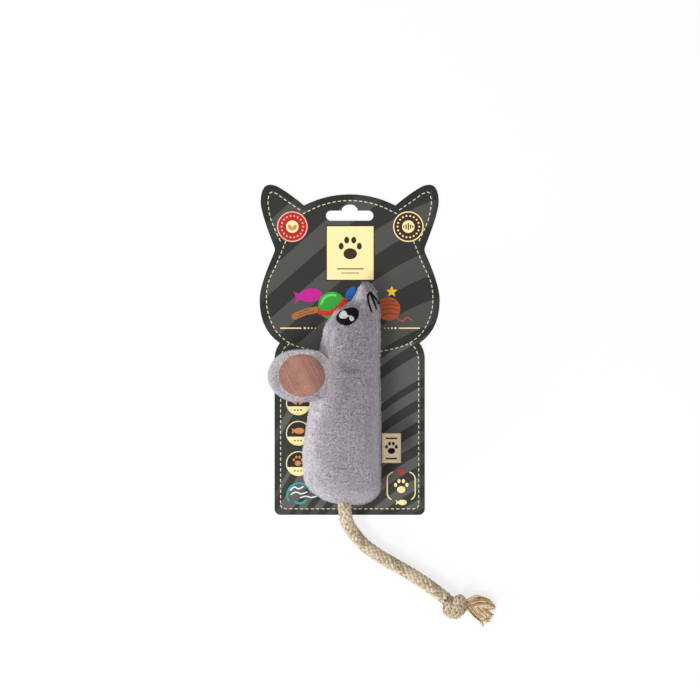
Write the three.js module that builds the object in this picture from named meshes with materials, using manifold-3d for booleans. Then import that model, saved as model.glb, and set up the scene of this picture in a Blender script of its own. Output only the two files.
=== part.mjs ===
// Plush mouse cat toy, held on its hanging card by two adhesive dots.
// Millimetres, +Z up. The card's back face lies on z = 0 and its ears point to +Y.
// The origin is the middle of the card's outline. The toy lies on the card's front,
// nose up, and its rope tail leaves the lower end and comes down to the floor.

import * as THREE from "three";
import { mergeVertices } from "three/addons/utils/BufferGeometryUtils.js";
import Module from "manifold-3d";

const wasm = await Module();
wasm.setup();

// Space left between pieces that touch, and how far a cutter runs past what it cuts
const clearance = 0.3;
const cutOverrun = 3;

// Hanging card: a cat's head over a straight panel
const cardWidth = 121.6;
const cardHeight = 222.8;
const cardThickness = 0.8;
const headHeight = 106.9;
const panelWidth = 101.4;
const panelCornerRadius = 4;
const shoulderDrop = 9.4;
const slotLength = 32;
const slotBarHeight = 6.8;
const slotBumpWidth = 10.8;
const slotBumpRise = 4.1;
const slotBelowCrown = 14.4;

// Adhesive dots between the card and the toy's back
const dotDiameter = 15;
const dotThickness = 0.8;
const dotSpacing = 62;

// Toy body: two plush panels sewn together round their outline
const bodyLength = 150.3;
const bodyWidth = 53.5;
const bodyRightX = 21.5;
const noseBelowCardTop = 65.6;
const bodyFrontRise = 15.5;
const bodyBackRise = 16;
const bodyBackDepth = 14.6;
const noseDroop = 4.5;
const noseRound = 6.5;
const bottomLeftRound = 22;
const bottomRightRound = 14;
const bottomRiseRound = 18;
const plushWall = 1.8;

// Round ear, sewn to the left shoulder by its rim
const earLength = 41.2;
const earWidth = 35.2;
const earRise = 4.4;
const earWall = 1.5;
const earTilt = THREE.MathUtils.degToRad(14);
const earFromNose = 63.1;
const earOverShoulder = 8.6;
const earRimSeat = 1.4;
const earPatchLength = 32.2;
const earPatchWidth = 28.8;
const earPatchOffset = 2.5;

// Embroidery: ear patch, eye and whiskers
const threadThickness = 0.7;
const threadLift = 0.4;
const eyeLength = 15;
const eyeWidth = 12;
const eyeFromNose = 23.6;
const eyeFromLeftEdge = 11.6;
const eyeTurn = THREE.MathUtils.degToRad(12);
const largeGlintDiameter = 6.2;
const smallGlintDiameter = 3.8;
const whiskerWidth = 1.1;
const whiskerLength = 13;
const whiskerFromNose = 7.4;
const whiskerFromRightEdge = 4.3;

// Side label: a tape folded double and caught in the right seam
const labelReach = 12.5;
const labelWidth = 19.9;
const labelTape = 0.7;
const labelFromNose = 111.8;

// Rattle drum with a loose ball, and the sachet of dried silver vine
const drumDiameter = 22;
const drumHeight = 14;
const drumCupHeight = 8.5;
const drumWall = 1.2;
const drumLip = 2;
const drumFromAnchor = 4.5;
const ballDiameter = 6;
const sachetLength = 32;
const sachetWidth = 21;
const sachetThickness = 6;
const sachetHem = 0.6;
const sachetFromDrum = 17;

// Rope tail: diameter, sewn-in end with its stop knot, free route, knot and frayed end
const ropeDiameter = 9.2;
const anchorLength = 13;
const stopKnotDiameter = 13;
const stopKnotLength = 10;
const tailFromRightEdge = 24.8;
const knotLength = 15;
const knotWidth = 16;
const knotHeight = 14.6;
const tasselLength = 19;
const tasselEndWidth = 17.5;
const tasselHeight = 10;
const tasselTurn = THREE.MathUtils.degToRad(-15);
// Points of the free rope past its rounded inner end: across and along from where it is
// sewn in, and above the floor
const tailRoute = [
  [0.5, -7.1, 15.6],
  [1.5, -10.9, 14.0],
  [3.0, -14.6, 11.7],
  [5.2, -18.8, 9.0],
  [8.0, -22.9, 6.9],
  [11.7, -27.0, 5.5],
  [16.0, -30.8, 4.9],
  [21.3, -34.5, 4.8],
  [26.9, -37.8, 4.8],
  [33.1, -41.1, 4.8],
  [39.4, -44.5, 4.8],
  [45.5, -47.9, 4.8],
  [51.3, -51.3, 4.8],
  [56.5, -54.7, 4.9],
  [61.3, -58.1, 5.3],
  [64.9, -60.7, 5.9],
  [68.3, -63.2, 6.6],
];

// Head outline from the crown to the notch: bend x, bend y, end x, end y, as shares of
// half the card's width and of the head's height above the notch
const crownShare = 0.939;
const headCurveShares = [
  [0.268, 0.939, 0.507, 0.869],
  [0.666, 0.946, 0.796, 0.987],
  [0.842, 1, 0.885, 1],
  [0.985, 1, 0.989, 0.892],
  [0.987, 0.821, 0.842, 0.615],
  [0.822, 0.59, 0.842, 0.566],
  [1, 0.365, 1, 0.272],
  [1, 0.084, 0.775, 0],
];
const shoulderBendShares = [0.83, 0.39];

// Body edges at shares of its length from the nose, measured from the right edge
// as shares of its width, and its rise as a share of the belly's
const leftEdgeShares = [
  [0, 0.293],
  [0.044, 0.325],
  [0.083, 0.379],
  [0.106, 0.467],
  [0.128, 0.577],
  [0.152, 0.637],
  [0.198, 0.705],
  [0.259, 0.74],
  [0.35, 0.802],
  [0.484, 0.871],
  [0.642, 0.953],
  [0.777, 1],
  [0.867, 0.985],
  [1, 0.944],
];
const rightEdgeShares = [
  [0, 0.084],
  [0.044, 0.064],
  [0.083, 0.036],
  [0.128, 0.013],
  [0.198, 0.004],
  [0.259, 0],
  [0.867, 0],
  [1, 0.02],
];
const riseShares = [
  [0, 0.4],
  [0.08, 0.47],
  [0.16, 0.63],
  [0.28, 0.79],
  [0.45, 0.92],
  [0.68, 1],
  [0.86, 0.97],
  [1, 0.92],
];
const nosePoleShare = 0.2;
const bottomPoleShare = 0.372;
const roundPower = 2;
const squarePower = 2.3;
const earPower = 2.6;
const sachetPower = 5;
const dotMiddleShare = 0.6;
const glintShares = { large: [-0.36, 0.2], small: [0.34, -0.16] };
// Whisker ends and bends from their meeting point, as shares of the longest whisker
const whiskerShares = [
  [-0.2, -0.45, 0.08, -1],
  [0.12, -0.5, 0.36, -0.89],
  [0.24, -0.36, 0.47, -0.64],
];
// Frayed end, from the knot outwards: shares of its length and of its end width
const tasselShares = [
  [0, 0.36],
  [0.25, 0.46],
  [0.55, 0.72],
  [0.82, 0.96],
  [0.96, 0.86],
];

// How thick the rope is where the knot pulls it tight, and the knot's three strands: points
// as shares of the room that the knot leaves the middle of a strand
const tightRopeShare = 0.7;
const knotStrandShares = [
  [[-0.1, 0.9, -0.7], [-0.8, 0.6, -0.1], [-1, -0.2, 0.2], [-0.5, -0.9, -0.6]],
  [[0.3, -0.4, -1], [-0.3, -0.9, -0.6], [-0.1, -0.7, 0.7], [0.1, 0.2, 1], [0.2, 1, 0.2], [0, 0.4, -1]],
  [[0.5, 0.8, -0.7], [1, 0.3, 0.2], [0.9, -0.4, 0.1], [0.2, -0.9, -0.7]],
];

// Facet counts
const bodyRows = 32;
const arcSteps = 16;
const curveSteps = 7;
const ropeSides = 12;
const ropeSteps = 13;
const strandSteps = 9;
const roundSides = 24;
const patchRings = 3;

// Heights that follow from the sizes above
const backFloor = cardThickness + dotThickness + clearance;
const seamHeight = backFloor + bodyBackDepth;
const noseY = cardHeight / 2 - noseBelowCardTop;
const bodyBottomY = noseY - bodyLength;
const tailX = bodyRightX - tailFromRightEdge;
const labelThickness = 2 * labelTape + clearance;
const labelY = noseY - labelFromNose;
const drumY = bodyBottomY + anchorLength + stopKnotLength + drumFromAnchor + drumDiameter / 2;
const sachetY = drumY + drumDiameter / 2 + sachetFromDrum + sachetLength / 2;

const colours = {
  card: 0x40403e,
  adhesive: 0xdfe3e4,
  plush: 0x918c93,
  filling: 0xf1f1ee,
  drum: 0xe9e6dc,
  ball: 0xb9bdc1,
  sachet: 0xd8cfae,
  earThread: 0xa4796c,
  blackThread: 0x101010,
  paleThread: 0xd7d5d5,
  tape: 0xc3b394,
  rope: 0xbaa98f,
  frayedRope: 0xa89275,
};

// A smooth value at share t of rows of [share, value]
function smoothValue(rows, t) {
  const last = rows.length - 1;
  let i = 0;
  while (i < last - 1 && t > rows[i + 1][0]) i++;
  const slope = (k) => {
    const before = rows[Math.max(k - 1, 0)];
    const after = rows[Math.min(k + 1, last)];
    return (after[1] - before[1]) / (after[0] - before[0]);
  };
  const span = rows[i + 1][0] - rows[i][0];
  const s = (t - rows[i][0]) / span;
  const keepStart = 1 - s * s * (3 - 2 * s);
  const startBend = s * (1 - s) * (1 - s) * span * slope(i);
  const endBend = s * s * (s - 1) * span * slope(i + 1);
  return keepStart * rows[i][1] + (1 - keepStart) * rows[i + 1][1] + startBend + endBend;
}

// How full a rounded end is at a distance from its tip
function roundedEnd(distance, depth, power) {
  const short = Math.max(1 - distance / depth, 0);
  return (1 - short ** power) ** (1 / power);
}

// A named mesh of one colour
function piece(name, geometry, colour, roughness = 0.9) {
  const material = new THREE.MeshStandardMaterial({ color: colour, roughness, metalness: 0 });
  const mesh = new THREE.Mesh(geometry, material);
  mesh.name = name;
  return mesh;
}

// Vertices shared, faces without area dropped, and faces turned outwards
function closedSolid(geometry) {
  const bare = new THREE.BufferGeometry();
  bare.setAttribute("position", geometry.getAttribute("position"));
  bare.setIndex(geometry.getIndex());
  const merged = mergeVertices(bare);
  const index = merged.getIndex().array;
  const faces = [];
  for (let i = 0; i < index.length; i += 3) {
    const [a, b, c] = [index[i], index[i + 1], index[i + 2]];
    if (a !== b && b !== c && c !== a) faces.push(a, b, c);
  }
  const at = (k) => new THREE.Vector3().fromBufferAttribute(merged.getAttribute("position"), k);
  let volume = 0;
  for (let i = 0; i < faces.length; i += 3) {
    volume += at(faces[i]).dot(at(faces[i + 1]).cross(at(faces[i + 2])));
  }
  merged.setIndex(volume < 0 ? faces.reverse() : faces);
  return merged;
}

// Rows of points, each row a closed loop of equal count, joined into one solid.
// The first and the last row close on themselves.
function ringSolid(rows) {
  const count = rows[0].length;
  const positions = rows.flat().flatMap((point) => [point.x, point.y, point.z]);
  const faces = [];
  for (let i = 0; i < rows.length - 1; i++) {
    for (let j = 0; j < count; j++) {
      const next = (j + 1) % count;
      const a = i * count + j;
      const b = i * count + next;
      const c = a + count;
      const d = b + count;
      faces.push(a, c, b, b, c, d);
    }
  }
  const geometry = new THREE.BufferGeometry();
  geometry.setAttribute("position", new THREE.Float32BufferAttribute(positions, 3));
  geometry.setIndex(faces);
  return closedSolid(geometry);
}

// A disc about a centre, its rim on plan(angle), its faces on the heights top and bottom
function discSolid({ centre, plan, top, bottom, rings = patchRings, sides = roundSides }) {
  const ring = (share, face) => {
    const points = [];
    for (let k = 0; k < sides; k++) {
      const rim = plan((2 * Math.PI * k) / sides);
      const x = centre.x + rim.x * share;
      const y = centre.y + rim.y * share;
      points.push(new THREE.Vector3(x, y, face(x, y, share)));
    }
    return points;
  };
  const rows = [];
  for (let k = 0; k <= rings; k++) rows.push(ring(k / rings, bottom));
  for (let k = rings; k >= 0; k--) rows.push(ring(k / rings, top));
  return ringSolid(rows);
}

function ellipsePlan(length, width, turn = 0) {
  return (angle) => {
    const rim = new THREE.Vector2(Math.cos(angle) * length / 2, Math.sin(angle) * width / 2);
    return rim.rotateAround(new THREE.Vector2(), turn);
  };
}

// Joins and cuts
function toManifold(geometry) {
  const solid = closedSolid(geometry);
  return new wasm.Manifold(new wasm.Mesh({
    numProp: 3,
    vertProperties: Float32Array.from(solid.getAttribute("position").array),
    triVerts: Uint32Array.from(solid.getIndex().array),
  }));
}

function toGeometry(manifold) {
  const mesh = manifold.getMesh();
  const geometry = new THREE.BufferGeometry();
  geometry.setAttribute("position", new THREE.Float32BufferAttribute(mesh.vertProperties, 3));
  geometry.setIndex(Array.from(mesh.triVerts));
  return geometry;
}

function cut(geometry, ...cutters) {
  let solid = toManifold(geometry);
  for (const cutter of cutters) solid = solid.subtract(toManifold(cutter));
  return toGeometry(solid);
}

function join(geometries) {
  let solid = toManifold(geometries[0]);
  for (const geometry of geometries.slice(1)) solid = solid.add(toManifold(geometry));
  return toGeometry(solid);
}

// Hanging card with its peg slot
function headPlace(xShare, yShare) {
  const notchY = cardHeight / 2 - headHeight;
  return [xShare * cardWidth / 2, notchY + yShare * headHeight];
}

function cardShape() {
  const half = new THREE.Path();
  half.moveTo(...headPlace(0, crownShare));
  for (const [bendX, bendY, endX, endY] of headCurveShares) {
    half.quadraticCurveTo(...headPlace(bendX, bendY), ...headPlace(endX, endY));
  }
  const [notchX, notchY] = headPlace(...headCurveShares.at(-1).slice(2));
  const [bendAcross, bendDown] = shoulderBendShares;
  const side = panelWidth / 2;
  const bottom = -cardHeight / 2;
  half.quadraticCurveTo(
    notchX + bendAcross * (side - notchX),
    notchY - bendDown * shoulderDrop,
    side,
    notchY - shoulderDrop,
  );
  half.lineTo(side, bottom + panelCornerRadius);
  const cornerX = side - panelCornerRadius;
  half.absarc(cornerX, bottom + panelCornerRadius, panelCornerRadius, 0, -Math.PI / 2, true);
  half.lineTo(0, bottom);
  const right = half.getPoints(curveSteps);
  const left = right.slice(1, -1).reverse().map((point) => new THREE.Vector2(-point.x, point.y));
  return new THREE.Shape([...right, ...left]);
}

function slotPath() {
  const barTop = headPlace(0, crownShare)[1] - slotBelowCrown + slotBarHeight / 2;
  const radius = slotBarHeight / 2;
  const endX = slotLength / 2 - radius;
  const middle = barTop - radius;
  const path = new THREE.Path();
  path.moveTo(-endX, barTop - slotBarHeight);
  path.lineTo(endX, barTop - slotBarHeight);
  path.absarc(endX, middle, radius, -Math.PI / 2, Math.PI / 2, false);
  path.lineTo(slotBumpWidth / 2, barTop);
  path.absellipse(0, barTop, slotBumpWidth / 2, slotBumpRise, 0, Math.PI, false, 0);
  path.lineTo(-endX, barTop);
  path.absarc(-endX, middle, radius, Math.PI / 2, 3 * Math.PI / 2, false);
  return path;
}

function hangCard() {
  const shape = cardShape();
  shape.holes.push(slotPath());
  const settings = { depth: cardThickness, bevelEnabled: false, curveSegments: curveSteps };
  return piece("hang_card", new THREE.ExtrudeGeometry(shape, settings), colours.card, 0.6);
}

function adhesiveDot(name, side) {
  const radius = dotDiameter / 2;
  const geometry = new THREE.CylinderGeometry(radius, radius, dotThickness, roundSides);
  const dot = piece(name, geometry, colours.adhesive, 0.3);
  const y = noseY - dotMiddleShare * bodyLength + side * dotSpacing / 2;
  dot.rotation.x = Math.PI / 2;
  dot.position.set(sectionAt(y).middle, y, cardThickness + dotThickness / 2);
  return dot;
}

// One cross-section of the body at share t of its length, drawn in by inset all round
function bodySection(t, inset) {
  const reach = bodyLength - 2 * inset;
  const fromNose = t * reach;
  const fromBottom = reach - fromNose;
  const y = noseY - inset - fromNose;
  const along = THREE.MathUtils.clamp((noseY - y) / bodyLength, 0, 1);
  const nearNose = fromNose < fromBottom;
  const pole = bodyRightX - (nearNose ? nosePoleShare : bottomPoleShare) * bodyWidth;
  const leftBase = bodyRightX - smoothValue(leftEdgeShares, along) * bodyWidth + inset;
  const rightBase = bodyRightX - smoothValue(rightEdgeShares, along) * bodyWidth - inset;
  const nose = roundedEnd(fromNose, noseRound - inset, roundPower);
  const leftEnd = nose * roundedEnd(fromBottom, bottomLeftRound - inset, roundPower);
  const rightEnd = nose * roundedEnd(fromBottom, bottomRightRound - inset, squarePower);
  const riseEnd = nose * roundedEnd(fromBottom, bottomRiseRound - inset, roundPower);
  const rise = smoothValue(riseShares, along);
  const left = pole + (leftBase - pole) * leftEnd;
  const right = pole + (rightBase - pole) * rightEnd;
  return {
    y,
    left,
    right,
    middle: (left + right) / 2,
    half: (right - left) / 2,
    seam: seamHeight - noseDroop * (1 - along) ** 2,
    frontRise: (bodyFrontRise * rise - inset) * riseEnd,
    backRise: (bodyBackRise * rise - inset) * riseEnd,
  };
}

// The body's outer cross-section at a place along Y
function sectionAt(y) {
  return bodySection((noseY - y) / bodyLength, 0);
}

// Height of the body's front face over a point
function frontHeight(x, y) {
  const section = sectionAt(y);
  const across = Math.min(Math.abs(x - section.middle) / section.half, 1);
  return section.seam + clearance / 2 + section.frontRise * Math.sqrt(1 - across * across);
}

// Height of the back panel's inner face under a point
function backInsideHeight(x, y) {
  const reach = bodyLength - 2 * plushWall;
  const section = bodySection((noseY - plushWall - y) / reach, plushWall);
  const across = Math.min(Math.abs(x - section.middle) / section.half, 1);
  const round = section.seam - clearance / 2 - section.backRise * Math.sqrt(1 - across * across);
  return Math.max(round, backFloor + plushWall);
}

// Half a cross-section from right to left: side 1 is the front, -1 the flattened back
function bodyArc(t, inset, side) {
  const section = bodySection(t, inset);
  const rise = side > 0 ? section.frontRise : section.backRise;
  const points = [];
  for (let j = 0; j <= arcSteps; j++) {
    const angle = (Math.PI * j) / arcSteps;
    const x = section.middle + section.half * Math.cos(angle);
    const z = section.seam + side * (clearance / 2 + rise * Math.sin(angle));
    points.push(new THREE.Vector3(x, section.y, Math.max(z, backFloor + inset)));
  }
  return points;
}

// Shares along the body, closest together at its rounded ends
function bodyShares() {
  const shares = [];
  for (let i = 0; i <= bodyRows; i++) shares.push((1 - Math.cos((Math.PI * i) / bodyRows)) / 2);
  return shares;
}

// The whole body, front and back, drawn in by inset
function bodyForm(inset) {
  const rows = bodyShares().map((t) => [
    ...bodyArc(t, inset, 1),
    ...bodyArc(t, inset, -1).reverse(),
  ]);
  return ringSolid(rows);
}

// The sewn-in end of the rope: a straight stretch and a stop knot, outer end at y = 0
function anchorProfile(extra) {
  const rope = ropeDiameter / 2 + extra;
  const knot = (stopKnotDiameter - ropeDiameter) / 2;
  const points = [new THREE.Vector2(0, -extra), new THREE.Vector2(rope, -extra)];
  for (let k = 0; k <= curveSteps; k++) {
    const share = k / curveSteps;
    const swell = Math.sin(Math.PI * share);
    const y = anchorLength - extra + share * (stopKnotLength + 2 * extra);
    points.push(new THREE.Vector2(rope + knot * swell, y));
  }
  points.push(new THREE.Vector2(0, anchorLength + stopKnotLength + extra));
  return points;
}

function placeAtTail(target) {
  return target.translate(tailX, bodyBottomY, sectionAt(bodyBottomY).seam);
}

// Room for the rope's sewn-in end, open through the seam at the body's lower end
function anchorRoom() {
  const points = anchorProfile(clearance);
  points[0].y -= cutOverrun;
  points[1].y -= cutOverrun;
  return placeAtTail(new THREE.LatheGeometry(points, roundSides));
}

function plushPanel(name, side) {
  const rows = bodyShares().map((t) => [
    ...bodyArc(t, 0, side),
    ...bodyArc(t, plushWall, side).reverse(),
  ]);
  return piece(name, cut(ringSolid(rows), anchorRoom()), colours.plush);
}

// Seat height of something round or oblong that lies on the back panel's inside
function seatHeight(x, y, halfLength, halfWidth) {
  const heights = [];
  for (const across of [-1, 0, 1]) {
    for (const along of [-1, 0, 1]) {
      heights.push(backInsideHeight(x + across * halfWidth, y + along * halfLength));
    }
  }
  return Math.max(...heights) + clearance;
}

function drumPlace() {
  const x = sectionAt(drumY).middle;
  const radius = drumDiameter / 2;
  return new THREE.Vector3(x, drumY, seatHeight(x, drumY, radius / Math.SQRT2, radius));
}

function sachetPlace() {
  const x = sectionAt(sachetY).middle;
  const z = seatHeight(x, sachetY, sachetLength / 2, sachetWidth / 2);
  return new THREE.Vector3(x, sachetY, z);
}

// Fibre filling, with pockets for the drum and the sachet that open to the back panel
function fibreFill() {
  const drum = drumPlace();
  const sachet = sachetPlace();
  const drumRadius = drumDiameter / 2 + clearance;
  const drumTop = drum.z + drumHeight + clearance;
  const drumPocket = new THREE.CylinderGeometry(drumRadius, drumRadius, drumTop, roundSides);
  drumPocket.rotateX(Math.PI / 2).translate(drum.x, drum.y, drumTop / 2);
  const sachetTop = sachet.z + sachetThickness + clearance;
  const sachetPocket = new THREE.BoxGeometry(
    sachetWidth + 2 * clearance,
    sachetLength + 2 * clearance,
    sachetTop,
  );
  sachetPocket.translate(sachet.x, sachet.y, sachetTop / 2);
  const form = bodyForm(plushWall + clearance);
  const filling = cut(form, anchorRoom(), drumPocket, sachetPocket);
  return piece("fibre_fill", filling, colours.filling);
}

function rattleDrum() {
  const outer = drumDiameter / 2;
  const inner = outer - drumWall;
  const lip = inner - clearance;
  const cupProfile = [
    new THREE.Vector2(0, 0),
    new THREE.Vector2(outer, 0),
    new THREE.Vector2(outer, drumCupHeight),
    new THREE.Vector2(inner, drumCupHeight),
    new THREE.Vector2(inner, drumWall),
    new THREE.Vector2(0, drumWall),
  ];
  const lidProfile = [
    new THREE.Vector2(0, drumHeight - drumWall),
    new THREE.Vector2(lip - drumWall, drumHeight - drumWall),
    new THREE.Vector2(lip - drumWall, drumCupHeight - drumLip),
    new THREE.Vector2(lip, drumCupHeight - drumLip),
    new THREE.Vector2(lip, drumCupHeight + clearance),
    new THREE.Vector2(outer, drumCupHeight + clearance),
    new THREE.Vector2(outer, drumHeight),
    new THREE.Vector2(0, drumHeight),
  ];
  const cup = new THREE.LatheGeometry(cupProfile, roundSides);
  const lid = new THREE.LatheGeometry(lidProfile, roundSides);
  const ballRadius = ballDiameter / 2;
  const ball = new THREE.SphereGeometry(ballRadius, 16, 10);
  ball.translate(0, drumWall + clearance + ballRadius, 0);
  const drum = new THREE.Group();
  drum.add(piece("rattle_cup", closedSolid(cup), colours.drum, 0.4));
  drum.add(piece("rattle_lid", closedSolid(lid), colours.drum, 0.4));
  drum.add(piece("rattle_ball", ball, colours.ball, 0.3));
  drum.rotation.x = Math.PI / 2;
  drum.position.copy(drumPlace());
  return drum;
}

// A flat cloth packet, fullest in the middle, with a thin hem round its square edge
function silverVineSachet() {
  const plan = (angle) => {
    const c = Math.cos(angle);
    const s = Math.sin(angle);
    const reach = (Math.abs(c) ** sachetPower + Math.abs(s) ** sachetPower) ** (-1 / sachetPower);
    return new THREE.Vector2(c * reach * sachetWidth / 2, s * reach * sachetLength / 2);
  };
  const swell = (share) => (sachetThickness - sachetHem) / 2 * Math.sqrt(1 - share * share);
  const geometry = discSolid({
    centre: new THREE.Vector2(0, 0),
    plan,
    top: (x, y, share) => sachetHem / 2 + swell(share),
    bottom: (x, y, share) => -sachetHem / 2 - swell(share),
  });
  const sachet = piece("silver_vine_sachet", geometry, colours.sachet);
  sachet.position.copy(sachetPlace());
  sachet.position.z += sachetThickness / 2;
  return sachet;
}

function tailAnchor() {
  const geometry = closedSolid(new THREE.LatheGeometry(anchorProfile(0), roundSides));
  const anchor = piece("tail_anchor", geometry, colours.rope);
  anchor.position.set(tailX, bodyBottomY, sectionAt(bodyBottomY).seam);
  return anchor;
}

// A patch of thread that lies on a face
function threadPatch(name, centre, plan, face, colour) {
  const geometry = discSolid({
    centre,
    plan,
    top: (x, y) => face(x, y) + threadThickness,
    bottom: face,
  });
  return piece(name, geometry, colour, 0.5);
}

function eyePieces() {
  const eyeY = noseY - eyeFromNose;
  const centre = new THREE.Vector2(sectionAt(eyeY).left + eyeFromLeftEdge, eyeY);
  const onPlush = (x, y) => frontHeight(x, y) + threadLift;
  const onEye = (x, y) => onPlush(x, y) + threadThickness + clearance;
  const glint = (name, diameter, [alongShare, acrossShare]) => {
    const offset = new THREE.Vector2(alongShare * eyeLength / 2, acrossShare * eyeWidth / 2);
    const place = offset.rotateAround(new THREE.Vector2(), eyeTurn).add(centre);
    return threadPatch(name, place, ellipsePlan(diameter, diameter), onEye, colours.paleThread);
  };
  const plan = ellipsePlan(eyeLength, eyeWidth, eyeTurn);
  return [
    threadPatch("eye_patch", centre, plan, onPlush, colours.blackThread),
    glint("eye_highlight_large", largeGlintDiameter, glintShares.large),
    glint("eye_highlight_small", smallGlintDiameter, glintShares.small),
  ];
}

// One bar of satin stitch over the plush, bent once on its way
function whisker([bendX, bendY, endX, endY]) {
  const startY = noseY - whiskerFromNose;
  const start = new THREE.Vector2(sectionAt(startY).right - whiskerFromRightEdge, startY);
  const point = (x, y) => new THREE.Vector2(x, y).multiplyScalar(whiskerLength).add(start);
  const path = new THREE.QuadraticBezierCurve(start, point(bendX, bendY), point(endX, endY));
  const rows = [];
  for (let k = 0; k <= curveSteps; k++) {
    const share = k / curveSteps;
    const middle = path.getPoint(share);
    const side = path.getTangent(share).rotateAround(new THREE.Vector2(), Math.PI / 2);
    const corner = (sideways, lift) => {
      const place = middle.clone().addScaledVector(side, sideways * whiskerWidth / 2);
      const z = frontHeight(place.x, place.y) + threadLift + lift;
      return new THREE.Vector3(place.x, place.y, z);
    };
    const loop = [
      corner(-1, 0),
      corner(1, 0),
      corner(1, threadThickness),
      corner(-1, threadThickness),
    ];
    const heart = corner(0, threadThickness / 2);
    if (k === 0) rows.push(loop.map(() => heart));
    rows.push(loop);
    if (k === curveSteps) rows.push(loop.map(() => heart));
  }
  return ringSolid(rows);
}

function whiskerStitches() {
  return piece("whisker_stitches", join(whiskerShares.map(whisker)), colours.blackThread, 0.5);
}

// Ear: two plush layers over a thin wadding, with an embroidered patch in front.
// Local axes: x towards the body, z out of the ear's front.
function earHeight(x, y, inset = 0) {
  const across = x / (earLength / 2 - inset);
  const along = y / (earWidth / 2 - inset);
  const share = Math.min(Math.hypot(across, along), 1);
  return (earRise - inset) * (1 - share ** earPower) ** (1 / earPower);
}

function earArc(inset, side) {
  const meanRadius = (earLength + earWidth) / 4;
  const points = [];
  for (let k = 0; k <= curveSteps; k++) {
    const angle = (Math.PI / 2) * (k / curveSteps);
    const share = k === curveSteps ? 0 : Math.cos(angle) ** (2 / earPower);
    const rise = Math.sin(angle) ** (2 / earPower);
    const z = clearance / 2 + (earRise - inset) * rise;
    points.push(new THREE.Vector2((meanRadius - inset) * share, side * z));
  }
  return points;
}

function earSolid(profile) {
  const meanRadius = (earLength + earWidth) / 4;
  const geometry = new THREE.LatheGeometry(profile, roundSides);
  geometry.rotateX(Math.PI / 2);
  geometry.scale(earLength / 2 / meanRadius, earWidth / 2 / meanRadius, 1);
  return closedSolid(geometry);
}

function earFrame() {
  const centreY = noseY - earFromNose;
  const rootX = sectionAt(centreY).left + earOverShoulder;
  const rootZ = frontHeight(rootX, centreY) + clearance + earRimSeat;
  const ear = new THREE.Group();
  ear.position.set(
    rootX - Math.cos(earTilt) * earLength / 2,
    centreY,
    rootZ - Math.sin(earTilt) * earLength / 2,
  );
  ear.rotation.y = -earTilt;
  ear.updateMatrix();
  return ear;
}

function earPieces() {
  const ear = earFrame();
  const shoulder = bodyForm(-clearance).applyMatrix4(ear.matrix.clone().invert());
  const layer = (side) => earSolid([...earArc(0, side).reverse(), ...earArc(earWall, side)]);
  const inside = earWall + clearance;
  const wadding = earSolid([...earArc(inside, 1).reverse(), ...earArc(inside, -1)]);
  const patch = threadPatch(
    "ear_patch",
    new THREE.Vector2(earPatchOffset, 0),
    ellipsePlan(earPatchLength, earPatchWidth),
    (x, y) => earHeight(x, y) + clearance / 2 + threadLift,
    colours.earThread,
  );
  ear.add(piece("ear_front_layer", cut(layer(1), shoulder), colours.plush));
  ear.add(piece("ear_back_layer", cut(layer(-1), shoulder), colours.plush));
  ear.add(piece("ear_wadding", cut(wadding, shoulder), colours.filling));
  ear.add(patch);
  return ear;
}

// Side label: a tape folded double, its sewn edge rounded about the line it folds on
function sideLabel() {
  const outer = labelThickness / 2;
  const inner = clearance / 2;
  const start = Math.asin(inner / outer);
  const foldX = labelReach - outer;
  const shape = new THREE.Shape();
  shape.absarc(outer, 0, outer, Math.PI - start, Math.PI / 2, true);
  shape.absarc(foldX, 0, outer, Math.PI / 2, -Math.PI / 2, true);
  shape.absarc(outer, 0, outer, -Math.PI / 2, -Math.PI + start, true);
  shape.absarc(foldX, 0, inner, -Math.PI / 2, Math.PI / 2, false);
  const settings = { depth: labelWidth, bevelEnabled: false, curveSegments: curveSteps };
  const geometry = new THREE.ExtrudeGeometry(shape, settings);
  const label = piece("side_label", geometry, colours.tape, 0.8);
  label.rotation.x = Math.PI / 2;
  const seam = sectionAt(labelY);
  label.position.set(seam.right + clearance, labelY + labelWidth / 2, seam.seam);
  return label;
}

// A round tube along a curve
function tube(path, diameter, steps) {
  const section = new THREE.Shape();
  section.setFromPoints(
    Array.from({ length: ropeSides }, (_, k) => {
      const angle = (2 * Math.PI * k) / ropeSides;
      return new THREE.Vector2(Math.cos(angle), Math.sin(angle)).multiplyScalar(diameter / 2);
    }),
  );
  return new THREE.ExtrudeGeometry(section, { steps, bevelEnabled: false, extrudePath: path });
}

// Route of the free rope, from the middle of its rounded inner end to the knot
function ropeRoute() {
  const seam = sectionAt(bodyBottomY).seam;
  const start = new THREE.Vector3(tailX, bodyBottomY - clearance - ropeDiameter / 2, seam);
  const onwards = tailRoute.map(([across, along, height]) => (
    new THREE.Vector3(tailX + across, bodyBottomY + along, height)
  ));
  return new THREE.CatmullRomCurve3([start, ...onwards]);
}

function tailRope(route) {
  const roundEnd = new THREE.SphereGeometry(ropeDiameter / 2, ropeSides, ropeSides / 2);
  roundEnd.translate(...route.getPoint(0).toArray());
  const geometry = join([tube(route, ropeDiameter, ropeSteps), roundEnd]);
  return piece("tail_rope", geometry, colours.rope);
}

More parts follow.
